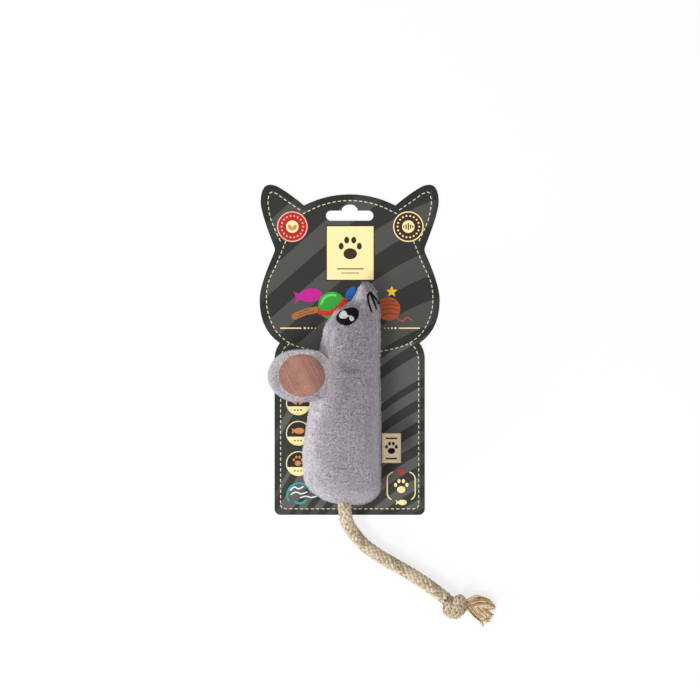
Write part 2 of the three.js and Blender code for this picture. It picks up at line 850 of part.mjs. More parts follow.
// Knot: three strands pulled tight over a core, with a seat for the end of the rope
function tailKnot(route) {
  const end = route.getPoint(1);
  const heading = route.getTangent(1).setZ(0).normalize();
  const centre = end.clone().addScaledVector(heading, knotLength / 2 + clearance);
  centre.z = knotHeight / 2;
  const tight = tightRopeShare * ropeDiameter;
  const half = new THREE.Vector3(knotLength, knotWidth, knotHeight).divideScalar(2);
  const room = half.clone().subScalar(tight / 2);
  const strands = knotStrandShares.map((points) => {
    const path = new THREE.CatmullRomCurve3(points.map((point) => (
      new THREE.Vector3(...point).multiply(room)
    )));
    return tube(path, tight, strandSteps);
  });
  const core = new THREE.SphereGeometry(1, ropeSides, ropeSides / 2);
  core.scale(...half.clone().multiplyScalar(tightRopeShare).toArray());
  const form = join([core, ...strands]).translate(...centre.toArray());
  const seatEnd = end.clone().addScaledVector(heading, clearance);
  const seatStart = end.clone().addScaledVector(heading, -ropeDiameter);
  const seat = tube(new THREE.LineCurve3(seatStart, seatEnd), ropeDiameter + 2 * clearance, 1);
  const knot = piece("tail_knot", cut(form, seat), colours.rope);
  return { knot, centre };
}

function tailTassel(knotCentre) {
  const profile = [new THREE.Vector2(0, 0)];
  for (const [along, width] of tasselShares) {
    profile.push(new THREE.Vector2(width * tasselEndWidth / 2, along * tasselLength));
  }
  profile.push(new THREE.Vector2(0, tasselLength));
  const fray = closedSolid(new THREE.LatheGeometry(profile, roundSides));
  fray.scale(1, 1, tasselHeight / tasselEndWidth).rotateZ(-Math.PI / 2);
  const tassel = piece("tail_tassel", fray, colours.frayedRope);
  const outward = new THREE.Vector3(Math.cos(tasselTurn), Math.sin(tasselTurn), 0);
  tassel.rotation.z = tasselTurn;
  tassel.position.copy(knotCentre).addScaledVector(outward, knotLength / 2 + clearance);
  tassel.position.z = tasselHeight / 2;
  return tassel;
}

function tailPieces() {
  const route = ropeRoute();
  const { knot, centre } = tailKnot(route);
  return [tailRope(route), knot, tailTassel(centre)];
}

const toy = new THREE.Group();
toy.add(plushPanel("front_panel", 1), plushPanel("back_panel", -1), fibreFill());
toy.add(rattleDrum(), silverVineSachet(), tailAnchor());
toy.add(...eyePieces(), whiskerStitches());
toy.add(earPieces(), sideLabel(), ...tailPieces());

const model = new THREE.Group();
model.add(hangCard(), adhesiveDot("adhesive_dot_upper", 1), adhesiveDot("adhesive_dot_lower", -1));
model.add(toy);

export default model;
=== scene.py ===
# A plush mouse for cats on the card that it is sold with: short grey pile, an embroidered
# face, a knotted rope tail and a printed hanging card. Metres, +Z up, in the CAD's frame.

import math

import bmesh
import bpy
import numpy as np
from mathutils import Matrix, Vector
from mathutils.bvhtree import BVHTree


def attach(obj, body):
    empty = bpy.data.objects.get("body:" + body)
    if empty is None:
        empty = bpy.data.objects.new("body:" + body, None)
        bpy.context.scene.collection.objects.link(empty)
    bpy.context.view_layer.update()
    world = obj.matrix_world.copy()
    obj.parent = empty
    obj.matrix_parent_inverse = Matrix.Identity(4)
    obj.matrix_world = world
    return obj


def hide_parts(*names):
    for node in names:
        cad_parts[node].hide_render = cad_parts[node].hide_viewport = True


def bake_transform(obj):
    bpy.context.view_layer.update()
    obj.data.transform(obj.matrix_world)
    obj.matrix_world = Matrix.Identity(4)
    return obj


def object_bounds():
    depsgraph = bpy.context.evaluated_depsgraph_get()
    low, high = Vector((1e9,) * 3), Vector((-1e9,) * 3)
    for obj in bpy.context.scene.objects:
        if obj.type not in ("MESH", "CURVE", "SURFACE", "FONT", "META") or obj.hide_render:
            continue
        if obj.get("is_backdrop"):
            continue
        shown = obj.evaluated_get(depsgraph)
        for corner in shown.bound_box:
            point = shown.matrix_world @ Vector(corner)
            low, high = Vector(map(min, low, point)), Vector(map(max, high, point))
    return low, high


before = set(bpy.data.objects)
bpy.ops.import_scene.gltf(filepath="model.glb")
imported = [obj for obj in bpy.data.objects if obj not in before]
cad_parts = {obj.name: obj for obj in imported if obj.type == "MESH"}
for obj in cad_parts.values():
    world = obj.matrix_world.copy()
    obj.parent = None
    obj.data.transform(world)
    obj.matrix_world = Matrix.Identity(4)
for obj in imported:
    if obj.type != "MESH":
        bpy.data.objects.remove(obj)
cad_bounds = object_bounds()


# Camera
# It looks straight down, as the photograph was taken, and from so far that the toy's
# height hardly widens it. One pixel of the photograph is 0.675 mm at the floor.
MM = 0.001
VIEW_WIDTH = 700 * 0.675 * MM
VIEW_MIDDLE = (0.24 * MM, -0.14 * MM)
LENS = 200.0
SENSOR = 36.0

camera = bpy.data.objects.new("camera", bpy.data.cameras.new("camera"))
camera.data.lens = LENS
camera.data.sensor_width = SENSOR
camera.data.clip_end = 20.0
camera.location = (*VIEW_MIDDLE, VIEW_WIDTH * LENS / SENSOR)
bpy.context.scene.collection.objects.link(camera)
bpy.context.scene.camera = camera
bpy.context.scene.view_settings.view_transform = "Standard"


# Rope tail
# A round cotton and jute cord, plaited from sixteen fine yarns over a soft core. It is
# caught in the seam at the body's lower end, drops to the floor and runs to its knot.
class Wire:
    """An output of a node, in a material or a geometry tree, that Python's signs work on."""

    def __init__(self, tree, output):
        self.tree = tree
        self.output = output

    def node(self, kind, values=None, output=0, **settings):
        """Adds a node: its settings first, then its sockets by name or number."""
        made = self.tree.nodes.new(kind)
        for name, setting in settings.items():
            if name == "stops":
                stops = made.color_ramp.elements
                stops.remove(stops[1])
                stops[0].position, stops[0].color = setting[0]
                for place, colour in setting[1:]:
                    stops.new(place).color = colour
            else:
                setattr(made, name, setting)
        for socket, value in (values or {}).items():
            for one in value if isinstance(value, list) else [value]:
                if isinstance(one, Wire):
                    self.tree.links.new(one.output, made.inputs[socket])
                else:
                    made.inputs[socket].default_value = one
        return Wire(self.tree, made.outputs[output])

    def then(self, kind, values=None, output=0, **settings):
        """Adds a node that takes this wire in its first socket."""
        return self.node(kind, {0: self, **(values or {})}, output, **settings)

    def other(self, output):
        """Another output of this wire's node."""
        return Wire(self.tree, self.output.node.outputs[output])

    def math(self, operation, *other):
        return self.then("ShaderNodeMath", dict(enumerate(other, 1)), operation=operation)

    def vector(self, operation, *other):
        return self.then("ShaderNodeVectorMath", dict(enumerate(other, 1)), operation=operation)

    def scaled(self, size):
        return self.then("ShaderNodeVectorMath", {3: size}, operation="SCALE")

    def axis(self, number):
        """One number of this vector: 0 along X, 1 along Y and 2 along Z."""
        return self.then("ShaderNodeSeparateXYZ", None, number)

    def __add__(self, other):
        return self.math("ADD", other)

    def __sub__(self, other):
        return self.math("SUBTRACT", other)

    def __rsub__(self, other):
        return self.node("ShaderNodeMath", {0: other, 1: self}, operation="SUBTRACT")

    def __mul__(self, other):
        return self.math("MULTIPLY", other)

    def __truediv__(self, other):
        return self.math("DIVIDE", other)

    __radd__ = __add__
    __rmul__ = __mul__

    def ease(self, low, high):
        """0 below low, 1 above high and smooth between."""
        values = {"From Min": low, "From Max": high}
        return self.then("ShaderNodeMapRange", values, interpolation_type="SMOOTHSTEP")

    def mix(self, first, second):
        """From first to second as this goes from 0 to 1. Three numbers are a screen colour."""
        first, second = (
            srgb(*colour) if isinstance(colour, tuple) and len(colour) == 3 else colour
            for colour in (first, second)
        )
        return self.then("ShaderNodeMix", {6: first, 7: second}, 2, data_type="RGBA")

    def noise(self, scale, detail=2.0, stretch=(1.0, 1.0, 1.0)):
        """Noise on this vector, whose grain is about 1 / scale long."""
        values = {"Vector": self.vector("MULTIPLY", stretch), "Scale": scale, "Detail": detail}
        return self.node("ShaderNodeTexNoise", values)

    def bump(self, distance, strength=1.0):
        """A normal from this wire as a height of 0 to 1 of that many metres."""
        values = {"Height": self, "Distance": distance, "Strength": strength}
        return self.node("ShaderNodeBump", values)

    def read(self, name, output=2):
        """What the piece's mesh stores at each point: 2 for a number, 1 for a vector."""
        return self.node("ShaderNodeAttribute", None, output, attribute_name=name)

    def stored(self, name, value, domain="POINT", data_type="FLOAT"):
        """This geometry with a value of this name stored on it."""
        values = {"Name": name, "Value": value}
        settings = {"domain": domain, "data_type": data_type}
        return self.then("GeometryNodeStoreNamedAttribute", values, **settings)

    def chance(self, seed, low=0.0, high=1.0, number=None):
        """A random number, for each element or for each value of another number."""
        values = {2: low, 3: high, 8: seed, **({} if number is None else {7: number})}
        return self.node("FunctionNodeRandomValue", values, 1, data_type="FLOAT")

    def strays(self, size, seed):
        """A random vector for each element, up to this size along each axis."""
        values = {0: (-size,) * 3, 1: (size,) * 3, 8: seed}
        return self.node("FunctionNodeRandomValue", values, data_type="FLOAT_VECTOR")

    def tube(self, radius, sides):
        """These lines as round tubes with closed ends."""
        ring = self.node("GeometryNodeCurvePrimitiveCircle", {"Resolution": sides, "Radius": radius})
        return self.then("GeometryNodeCurveToMesh", {1: ring, "Fill Caps": True})

    def planted(self, stem, aim, axis="Z", **sizes):
        """A copy of the stem on each of these points, its axis turned along a vector."""
        turn = aim.node("FunctionNodeAlignRotationToVector", {"Vector": aim}, axis=axis)
        values = {"Points": self, "Instance": stem, "Rotation": turn, **sizes}
        return self.node("GeometryNodeInstanceOnPoints", values)

    def spike(self, radius, length):
        """A thin three-sided cone."""
        values = {"Vertices": 3, "Radius Top": 0.0, "Radius Bottom": radius, "Depth": length}
        return self.node("GeometryNodeMeshCone", values)


def srgb(red, green, blue):
    """A colour as it looks on a screen, 0 to 255, in the linear values that nodes take."""
    def linear(value):
        share = value / 255
        return share / 12.92 if share <= 0.04045 else ((share + 0.055) / 1.055) ** 2.4
    return (linear(red), linear(green), linear(blue), 1.0)


def new_finish(name):
    """A new material, with a wire of each point's place on its piece."""
    material = bpy.data.materials.new(name)
    material.use_nodes = True
    tree = material.node_tree
    return material, Wire(tree, tree.nodes.new("ShaderNodeTexCoord").outputs["Object"])


def set_finish(material, colour, rough, shine=0.5, normal=None, sheen=()):
    """Gives the material's shader its values or wires. Sheen is weight, roughness and tint."""
    tree = material.node_tree
    names = ("Base Color", "Roughness", "Specular IOR Level", "Normal")
    values = {**dict(zip(names, (colour, rough, shine, normal))),
              **dict(zip(("Sheen Weight", "Sheen Roughness", "Sheen Tint"), sheen))}
    for name, value in values.items():
        socket = tree.nodes["Principled BSDF"].inputs[name]
        if isinstance(value, Wire):
            tree.links.new(value.output, socket)
        elif value is not None:
            socket.default_value = value
    return material


def new_tree(name, **kinds):
    """An empty geometry tree, its inputs named by their kind, and a wire of each."""
    tree = bpy.data.node_groups.new(name, "GeometryNodeTree")
    tree.interface.new_socket("Geometry", in_out="OUTPUT", socket_type="NodeSocketGeometry")
    for kind, labels in {"Geometry": "Geometry", **kinds, "Material": "Finish"}.items():
        for label in labels.split():
            tree.interface.new_socket(label, in_out="INPUT", socket_type="NodeSocket" + kind)
    entry = tree.nodes.new("NodeGroupInput")
    return tree, {s.name: Wire(tree, s) for s in entry.outputs if s.name}


def close_tree(tree, given, geometry):
    """Ends a tree: instances realized, nothing under the floor, faces smooth, the finish set."""
    real = geometry.then("GeometryNodeRealizeInstances")
    place = real.node("GeometryNodeInputPosition").vector("MAXIMUM", (-1.0, -1.0, 0.1 * MM))
    smooth = real.then("GeometryNodeSetPosition", {"Position": place}).then("GeometryNodeSetShadeSmooth")
    painted = smooth.then("GeometryNodeSetMaterial", {"Material": given["Finish"]})
    tree.links.new(painted.output, tree.nodes.new("NodeGroupOutput").inputs[0])
    return tree


def new_object(name, data):
    made = bpy.data.objects.new(name, data)
    bpy.context.scene.collection.objects.link(made)
    return made


def baked(source):
    """The source as its modifiers leave it, as a plain mesh object of its name."""
    name = source.name
    bpy.context.view_layer.update()
    depsgraph = bpy.context.evaluated_depsgraph_get()
    settings = {"preserve_all_data_layers": True, "depsgraph": depsgraph}
    mesh = bpy.data.meshes.new_from_object(source.evaluated_get(depsgraph), **settings)
    bpy.data.objects.remove(source)
    mesh.name = name
    return new_object(name, mesh)


def grown(source, tree, **sizes):
    """What a geometry tree with these sizes makes of the source, as a plain mesh."""
    modifier = source.modifiers.new("growth", "NODES")
    modifier.node_group = tree
    for item in tree.interface.items_tree:
        if item.in_out == "INPUT" and item.name in sizes:
            modifier[item.identifier] = sizes[item.name]
    return baked(source)


def paint(piece, finish):
    piece.data.materials.clear()
    piece.data.materials.append(finish)


def fitted(piece, body, node=None, finish=None):
    """Puts a piece on its body, in the place of the CAD's node, whose part it hides."""
    if finish:
        paint(piece, finish)
    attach(piece, body)
    if node:
        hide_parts(node)
    return piece


def smooth_route(points, steps):
    """Points of one smooth curve through the given ones, evenly many between each two."""
    points = np.array(points, float)
    before = np.vstack([2 * points[0] - points[1], points[:-1]])
    after = np.vstack([points[1:], 2 * points[-1] - points[-2]])
    slope = (after - before) / 2
    t = np.linspace(0, 1, steps, endpoint=False)[:, None]
    rows = [
        (2 * t**3 - 3 * t**2 + 1) * start + (t**3 - 2 * t**2 + t) * leaving
        + (3 * t**2 - 2 * t**3) * end + (t**3 - t**2) * arriving
        for start, end, leaving, arriving in zip(points, points[1:], slope, slope[1:])
    ]
    return np.vstack([*rows, points[-1:]])


def line_curve(name, routes):
    """A curve object with one open line for each route."""
    data = bpy.data.curves.new(name, "CURVE")
    data.dimensions = "3D"
    for route in routes:
        line = data.splines.new("POLY")
        line.points.add(len(route) - 1)
        for point, place in zip(line.points, route):
            point.co = (*place, 1.0)
    return new_object(name, data)


def plait_tree():
    """Yarns that cross over and under each other round a core, along a curve."""
    tree, given = new_tree("plait", Float="Radius Yarn Rise Lay Fuzz", Int="Yarns")
    path = given["Geometry"].then("GeometryNodeResampleCurve", {"Length": 0.45 * MM}, mode="LENGTH")
    both = {"Amount": given["Yarns"] * 2.0}
    copies = path.then("GeometryNodeDuplicateElements", both, domain="SPLINE")
    number = copies.other(1)
    along = path.node("GeometryNodeSplineParameter", None, 1)
    side = 1.0 - 2.0 * number.math("GREATER_THAN", given["Yarns"] - 0.5)
    turn = along * (2 * math.pi) / given["Lay"]
    angle = side * turn + number * (2 * math.pi) / given["Yarns"]
    over = (given["Yarns"] * turn).math("COSINE") * side
    reach = given["Radius"] - given["Yarn"] - given["Rise"] + over * given["Rise"]
    normal = path.node("GeometryNodeInputNormal")
    across = path.node("GeometryNodeInputTangent").vector("CROSS_PRODUCT", normal)
    out = normal.scaled(reach * angle.math("COSINE"))
    offset = out.vector("ADD", across.scaled(reach * angle.math("SINE")))
    moved = copies.then("GeometryNodeSetPosition", {"Offset": offset})
    yarns = moved.stored("tone", number.chance(3, number=number)).tube(given["Yarn"], 7)
    core = path.tube(given["Radius"] - given["Yarn"] * 1.25, 16)
    places = {"Density": given["Fuzz"], "Seed": 4}
    roots = yarns.then("GeometryNodeDistributePointsOnFaces", places)
    aim = yarns.strays(0.9, 5).vector("ADD", roots.other("Normal"))
    fuzz = roots.planted(yarns.spike(0.05 * MM, 1.1 * MM), aim)
    rope = core.node("GeometryNodeJoinGeometry", {0: [core, yarns, fuzz]})
    return close_tree(tree, given, rope)


def rope_finish(name, dark, light, brown):
    """Heathered yarn from a dark to a light colour, with brown flecks."""
    material, place = new_finish(name)
    body = (0.4 * place.read("tone") + place.noise(620.0, 3.0) * 0.6).ease(0.2, 0.8).mix(dark, light)
    colour = (place.noise(560.0, 1.0).ease(0.6, 0.7) * 0.7).mix(body, brown)
    fibres = place.noise(2600.0).bump(0.25 * MM, 0.7)
    return set_finish(material, colour, 0.88, 0.2, fibres, (0.25, 0.5, srgb(250, 240, 220)))


ROPE_DIAMETER = 9.2 * MM
KNOT_ROPE_RADIUS = 4.2 * MM
PLAIT = {"Yarn": 1.1 * MM, "Rise": 0.24 * MM, "Lay": 32 * MM, "Yarns": 8, "Fuzz": 3.0e5}
# Points of the rope's sewn-in end, and of the free rope from the seam to the knot
ANCHOR_ROUTE = [
    (-3.3, -101.6, 16.5), (-3.3, -97.0, 16.5), (-3.0, -92.6, 16.8), (-0.6, -91.0, 17.2),
    (0.2, -93.0, 17.0), (-3.0, -94.6, 16.2),
]
TAIL_ROUTE = [
    (-3.3, -101.4, 16.5), (-3.3, -104.4, 16.5), (-3.2, -107.6, 16.3), (-2.8, -111.4, 15.6),
    (-1.8, -115.2, 14.0), (0.0, -119.0, 11.7), (2.5, -122.9, 9.0), (5.5, -126.8, 6.9),
    (9.3, -130.9, 5.5), (13.8, -134.6, 5.0), (19.1, -138.2, 4.9), (24.7, -141.6, 4.9),
    (30.6, -145.0, 4.9), (36.8, -148.5, 4.9), (42.8, -152.1, 4.9), (48.4, -155.6, 4.9),
    (53.5, -159.1, 5.0), (58.2, -162.6, 5.4), (61.7, -165.3, 5.9), (65.0, -167.7, 6.4),
]

yarn = rope_finish("rope_yarn", (140, 122, 100), (208, 192, 168), (118, 92, 68))
plait = plait_tree()
anchor_line = line_curve("rope_anchor", [smooth_route(np.array(ANCHOR_ROUTE) * MM, 8)])
anchor = grown(anchor_line, plait, **PLAIT, Radius=KNOT_ROPE_RADIUS, Finish=yarn)
fitted(anchor, "toy", "tail_anchor")
tail_route = smooth_route(np.array(TAIL_ROUTE) * MM, 6)
rope_line = line_curve("rope", [tail_route])
rope = grown(rope_line, plait, **PLAIT, Radius=ROPE_DIAMETER / 2, Finish=yarn)


# Knot in the tail
# The same rope in one overhand knot, pulled tight, so that it is thinner there and its
# strands press into each other. Its short end turns out to the right.
KNOT_PLAIT = {**PLAIT, "Radius": KNOT_ROPE_RADIUS, "Lay": 28 * MM, "Yarn": 1.0 * MM}
KNOT_MIDDLE = (71.4, -172.4, 0.0)
# Points of the strand from where the rope comes in, about the knot's middle, in mm
KNOT_ROUTE = [
    (-6.6, 4.9, 6.2), (-3.8, 2.7, 4.6), (-0.4, -0.4, 4.3), (2.2, -3.2, 4.5), (3.4, -1.4, 5.4),
    (3.4, 2.0, 7.6), (2.5, 4.2, 9.8), (1.6, 1.0, 11.2), (1.1, -3.6, 9.6), (-0.8, -5.0, 6.2),
    (-4.2, -3.8, 4.7), (-4.9, -0.8, 5.2), (-3.4, 1.2, 5.2), (0.0, 1.2, 5.0), (2.4, 1.7, 5.0),
    (3.6, 1.9, 5.2),
]

knot_yarn = rope_finish("knot_yarn", (128, 111, 90), (194, 177, 153), (106, 82, 60))
knot_route = smooth_route((np.array(KNOT_ROUTE) + KNOT_MIDDLE) * MM, 6)
knot = grown(line_curve("knot", [knot_route]), plait, **KNOT_PLAIT, Finish=knot_yarn)
fitted(knot, "tail", "tail_knot")


# Frayed end of the tail
# Past the knot the rope is left open. Its fibres are glossy and golden where they come
# out of the plait, gather in two locks and thin out to a few pale wisps.
def lock_tree():
    """Fibres that follow a line, spread and curl towards its end, each as long as chance has it."""
    floats = "Fibre Root Tip Swell Flatness Twist Wander Shortest"
    tree, given = new_tree("lock_of_fibres", Int="Fibres Seed", Float=floats)
    path = given["Geometry"].then("GeometryNodeResampleCurve", {"Count": 26}, mode="COUNT")
    amount = {"Amount": given["Fibres"]}
    copies = path.then("GeometryNodeDuplicateElements", amount, domain="SPLINE")
    number = copies.other(1)

    def chance(seed, low=0.0, high=1.0):
        return number.chance(given["Seed"] + seed, low, high, number)

    share = path.node("GeometryNodeSplineParameter")
    spread = given["Root"] + (given["Tip"] - given["Root"]) * share
    spread = spread + given["Swell"] * 4.0 * share * (1.0 - share)
    reach = spread * chance(1.0).math("SQRT")
    angle = chance(2.0, 0.0, 2 * math.pi) + given["Twist"] * share
    level = path.node("GeometryNodeInputTangent").vector("CROSS_PRODUCT", (0.0, 0.0, 1.0))
    sideways = level.vector("NORMALIZE").scaled(reach * angle.math("COSINE"))
    rise = given["Flatness"] * reach * angle.math("SINE")
    upwards = level.node("ShaderNodeCombineXYZ", {2: rise})
    seedling = number.node("ShaderNodeCombineXYZ", {0: number * 3.7, 1: share * 2.2, 2: number})
    curl = seedling.node("ShaderNodeTexNoise", {"Vector": seedling, "Scale": 1.0}, 1)
    curl = curl.vector("SUBTRACT", (0.5, 0.5, 0.5)).scaled(given["Wander"] * share)
    offset = sideways.vector("ADD", upwards).vector("ADD", curl)
    moved = copies.then("GeometryNodeSetPosition", {"Offset": offset})
    lengths = {3: chance(4.0, given["Shortest"], 1.0)}
    cut = moved.stored("tone", chance(3.0)).then("GeometryNodeTrimCurve", lengths, mode="FACTOR")
    thin = cut.then("GeometryNodeSetCurveRadius", {2: 1.0 - 0.7 * share})
    return close_tree(tree, given, thin.tube(given["Fibre"], 4))


# Lines of the locks about the knot's middle, in mm, and their sizes
LOCKS = {
    "upper_lock": (
        [(5.6, 1.8, 5.4), (10.2, 2.1, 5.5), (15.4, 2.8, 5.2), (21.0, 0.9, 3.8), (26.8, -1.6, 1.8)],
        {"Fibres": 200, "Root": 1.7 * MM, "Tip": 1.2 * MM, "Swell": 2.7 * MM, "Twist": 1.6, "Seed": 11},
    ),
    "lower_lock": (
        [(5.6, 1.5, 5.2), (9.8, -0.6, 4.8), (14.6, -4.2, 4.0), (19.4, -7.0, 2.9), (24.2, -9.4, 1.7)],
        {"Fibres": 190, "Root": 1.7 * MM, "Tip": 3.6 * MM, "Swell": 1.8 * MM, "Twist": -1.2, "Seed": 23},
    ),
    "wisps": (
        [(9.0, 1.4, 4.6), (12.4, -1.6, 4.0), (14.8, -6.0, 2.8), (17.6, -10.6, 1.6), (19.8, -14.6, 0.8)],
        {"Fibres": 14, "Root": 1.6 * MM, "Tip": 2.2 * MM, "Swell": 0.0, "Twist": 0.6, "Seed": 37},
    ),
}
GOLDEN_STOPS = [
    (0.2, srgb(118, 84, 50)), (0.36, srgb(190, 152, 104)), (0.56, srgb(222, 196, 152)),
    (0.76, srgb(248, 236, 208)),
]

fray_finish, place = new_finish("frayed_fibre")
shade = 0.6 * place.read("tone") + 0.4 * place.noise(500.0)
golden = shade.then("ShaderNodeValToRGB", stops=GOLDEN_STOPS)
set_finish(fray_finish, golden, 0.55, 0.35, None, (0.2,))
lock = lock_tree()
for name, (line, sizes) in LOCKS.items():
    route = smooth_route((np.array(line) + KNOT_MIDDLE) * MM, 6)
    strands = grown(
        line_curve("tassel_" + name, [route]), lock, Fibre=0.24 * MM, Flatness=0.6,
        Wander=3.5 * MM, Shortest=0.6, **sizes, Finish=fray_finish,
    )
    fitted(strands, "tail", "tail_tassel")

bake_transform(rope)
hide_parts("tail_rope")


# Plush body
# Two panels of short grey pile, sewn together round the mouse's outline and stuffed. The
# seam draws the cloth in and leaves soft puckers, and the pile lies towards the tail.
BODY_LENGTH = 150.3
BODY_WIDTH = 53.5
BODY_RIGHT_X = 21.5
NOSE_Y = 45.8
SEAM_HEIGHT = 16.5
NOSE_DROOP = 4.5
FRONT_RISE = 14.6
BACK_RISE = 15.4
PILE_ROOM = 0.55
CLOTH_THICKNESS = 1.4
DRAWN_IN = 0.9
FOLD_HEIGHT = 0.28
LUMP_HEIGHT = 0.3
CLOTH_TOP = 45.5
CLOTH_BOTTOM = -102.6
BACK_FLOOR = 1.95
SETTLING_FRAMES = 12
MOST_SETTLING = 0.8 * MM
# The body's edges and its rise at shares of its length from the nose, close to the CAD's
LEFT_EDGE = [
    (0, 0.293), (0.044, 0.325), (0.083, 0.379), (0.106, 0.467), (0.128, 0.577), (0.152, 0.637),
    (0.198, 0.72), (0.259, 0.765), (0.35, 0.819), (0.484, 0.873), (0.642, 0.953), (0.777, 1),
    (0.867, 0.985), (1, 0.944),
]
RIGHT_EDGE = [
    (0, 0.084), (0.044, 0.064), (0.083, 0.036), (0.128, 0.013), (0.198, 0.004), (0.259, 0),
    (0.867, 0), (1, 0.02),
]
RISE = [
    (0, 0.4), (0.08, 0.47), (0.16, 0.63), (0.28, 0.79), (0.45, 0.92), (0.68, 1), (0.86, 0.97),
    (1, 0.92),
]


def smooth_value(rows, share):
    """A smooth value at each share of rows of (share, value)."""
    at, value = np.array(rows, float).T
    step = np.arange(len(at))
    before, after = np.maximum(step - 1, 0), np.minimum(step + 1, len(at) - 1)
    slope = (value[after] - value[before]) / (at[after] - at[before])
    k = np.clip(np.searchsorted(at, share) - 1, 0, len(at) - 2)
    span = at[k + 1] - at[k]
    s = (share - at[k]) / span
    ends = (1 + 2 * s) * (1 - s) ** 2 * value[k] + s * s * (3 - 2 * s) * value[k + 1]
    return ends + s * (1 - s) * span * ((1 - s) * slope[k] - s * slope[k + 1])


def rounded_end(distance, depth, power):
    """How full a rounded end is at a distance from its tip."""
    return (1 - np.clip(1 - distance / depth, 0, 1) ** power) ** (1 / power)


def body_section(y):
    """The body's cross-sections at places along Y, in mm."""
    from_nose = np.clip(NOSE_Y - y, 0, BODY_LENGTH)
    from_bottom = BODY_LENGTH - from_nose
    along = from_nose / BODY_LENGTH
    pole = BODY_RIGHT_X - np.where(from_nose < from_bottom, 0.2, 0.372) * BODY_WIDTH
    left_base = BODY_RIGHT_X - smooth_value(LEFT_EDGE, along) * BODY_WIDTH
    right_base = BODY_RIGHT_X - smooth_value(RIGHT_EDGE, along) * BODY_WIDTH
    nose = rounded_end(from_nose, 6.5, 2)
    left = pole + (left_base - pole) * nose * rounded_end(from_bottom, 20, 2.35)
    right = pole + (right_base - pole) * nose * rounded_end(from_bottom, 13, 3.0)
    fullness = smooth_value(RISE, along) * nose * rounded_end(from_bottom, 18, 2)
    seam = SEAM_HEIGHT - NOSE_DROOP * (1 - along) ** 2
    return (left + right) / 2, (right - left) / 2, seam, fullness


def front_height(x, y):
    """Height of the body's front cloth over places, in mm."""
    middle, half, seam, fullness = body_section(y)
    across = np.clip(np.abs(x - middle) / np.maximum(half, 0.01), 0, 1)
    return seam + FRONT_RISE * fullness * np.sqrt(1 - across**2)


def waves(places, lengths, seed):
    """Slow, seeded ups and downs of about -1 to 1 at places, the sum of waves this long."""
    chance = np.random.default_rng(seed)
    total = np.zeros(places.shape[:-1])
    for length in lengths:
        direction = chance.normal(size=places.shape[-1])
        direction *= 2 * math.pi / length / np.linalg.norm(direction)
        total += np.sin(places @ direction + chance.uniform(0, 2 * math.pi))
    return total / math.sqrt(len(lengths))


def grid_piece(name, places):
    """A surface through rows of places in mm, its doubled points merged."""
    rows, columns = places.shape[:2]
    number = np.arange(rows * columns).reshape(rows, columns)
    faces = np.stack([number[:-1, :-1], number[:-1, 1:], number[1:, 1:], number[1:, :-1]], -1)
    mesh = bpy.data.meshes.new(name)
    mesh.from_pydata((places.reshape(-1, 3) * MM).tolist(), [], faces.reshape(-1, 4).tolist())
    shape = bmesh.new()
    shape.from_mesh(mesh)
    bmesh.ops.remove_doubles(shape, verts=shape.verts, dist=0.01 * MM)
    bmesh.ops.dissolve_degenerate(shape, edges=shape.edges, dist=0.005 * MM)
    bmesh.ops.recalc_face_normals(shape, faces=shape.faces)
    shape.to_mesh(mesh)
    shape.free()
    mesh.shade_smooth()
    return new_object(name, mesh)


def places_on(mesh):
    """The places of a mesh's points, in metres."""
    places = np.empty(len(mesh.vertices) * 3, np.float32)
    mesh.vertices.foreach_get("co", places)
    return places.reshape(-1, 3)


def settle(cloth):
    """Lets cloth settle a little over its filling, from its sewn rim."""
    mesh = cloth.data
    shape = bmesh.new()
    shape.from_mesh(mesh)
    rim = [vertex.index for vertex in shape.verts if vertex.is_boundary]
    shape.free()
    cloth.vertex_groups.new(name="sewn").add(rim, 1.0, "REPLACE")
    run = cloth.modifiers.new("settling", "CLOTH")
    run.settings.vertex_group_mass = "sewn"
    run.settings.quality = 4
    run.settings.mass = 0.15
    run.settings.use_pressure = True
    run.settings.uniform_pressure_force = 1.0
    run.settings.shrink_min = -0.02
    run.settings.effector_weights.gravity = 0.0
    run.point_cache.frame_end = SETTLING_FRAMES
    for number in range(1, SETTLING_FRAMES + 1):
        bpy.context.scene.frame_set(number)
    before = places_on(mesh)
    step = places_on(cloth.evaluated_get(bpy.context.evaluated_depsgraph_get()).data) - before
    cloth.modifiers.remove(run)
    cloth.vertex_groups.clear()
    bpy.context.scene.frame_set(1)
    reach = np.linalg.norm(step, axis=1)[:, None]
    step *= np.minimum(1, MOST_SETTLING / np.maximum(reach, 1e-9))
    mesh.vertices.foreach_set("co", (before + step).ravel())
    mesh.update()


def walled(cloth, thickness, offset=-1.0):
    """A surface as a sheet of this many millimetres."""
    wall = cloth.modifiers.new("wall", "SOLIDIFY")
    wall.thickness = thickness * MM
    wall.offset = offset
    return baked(cloth)


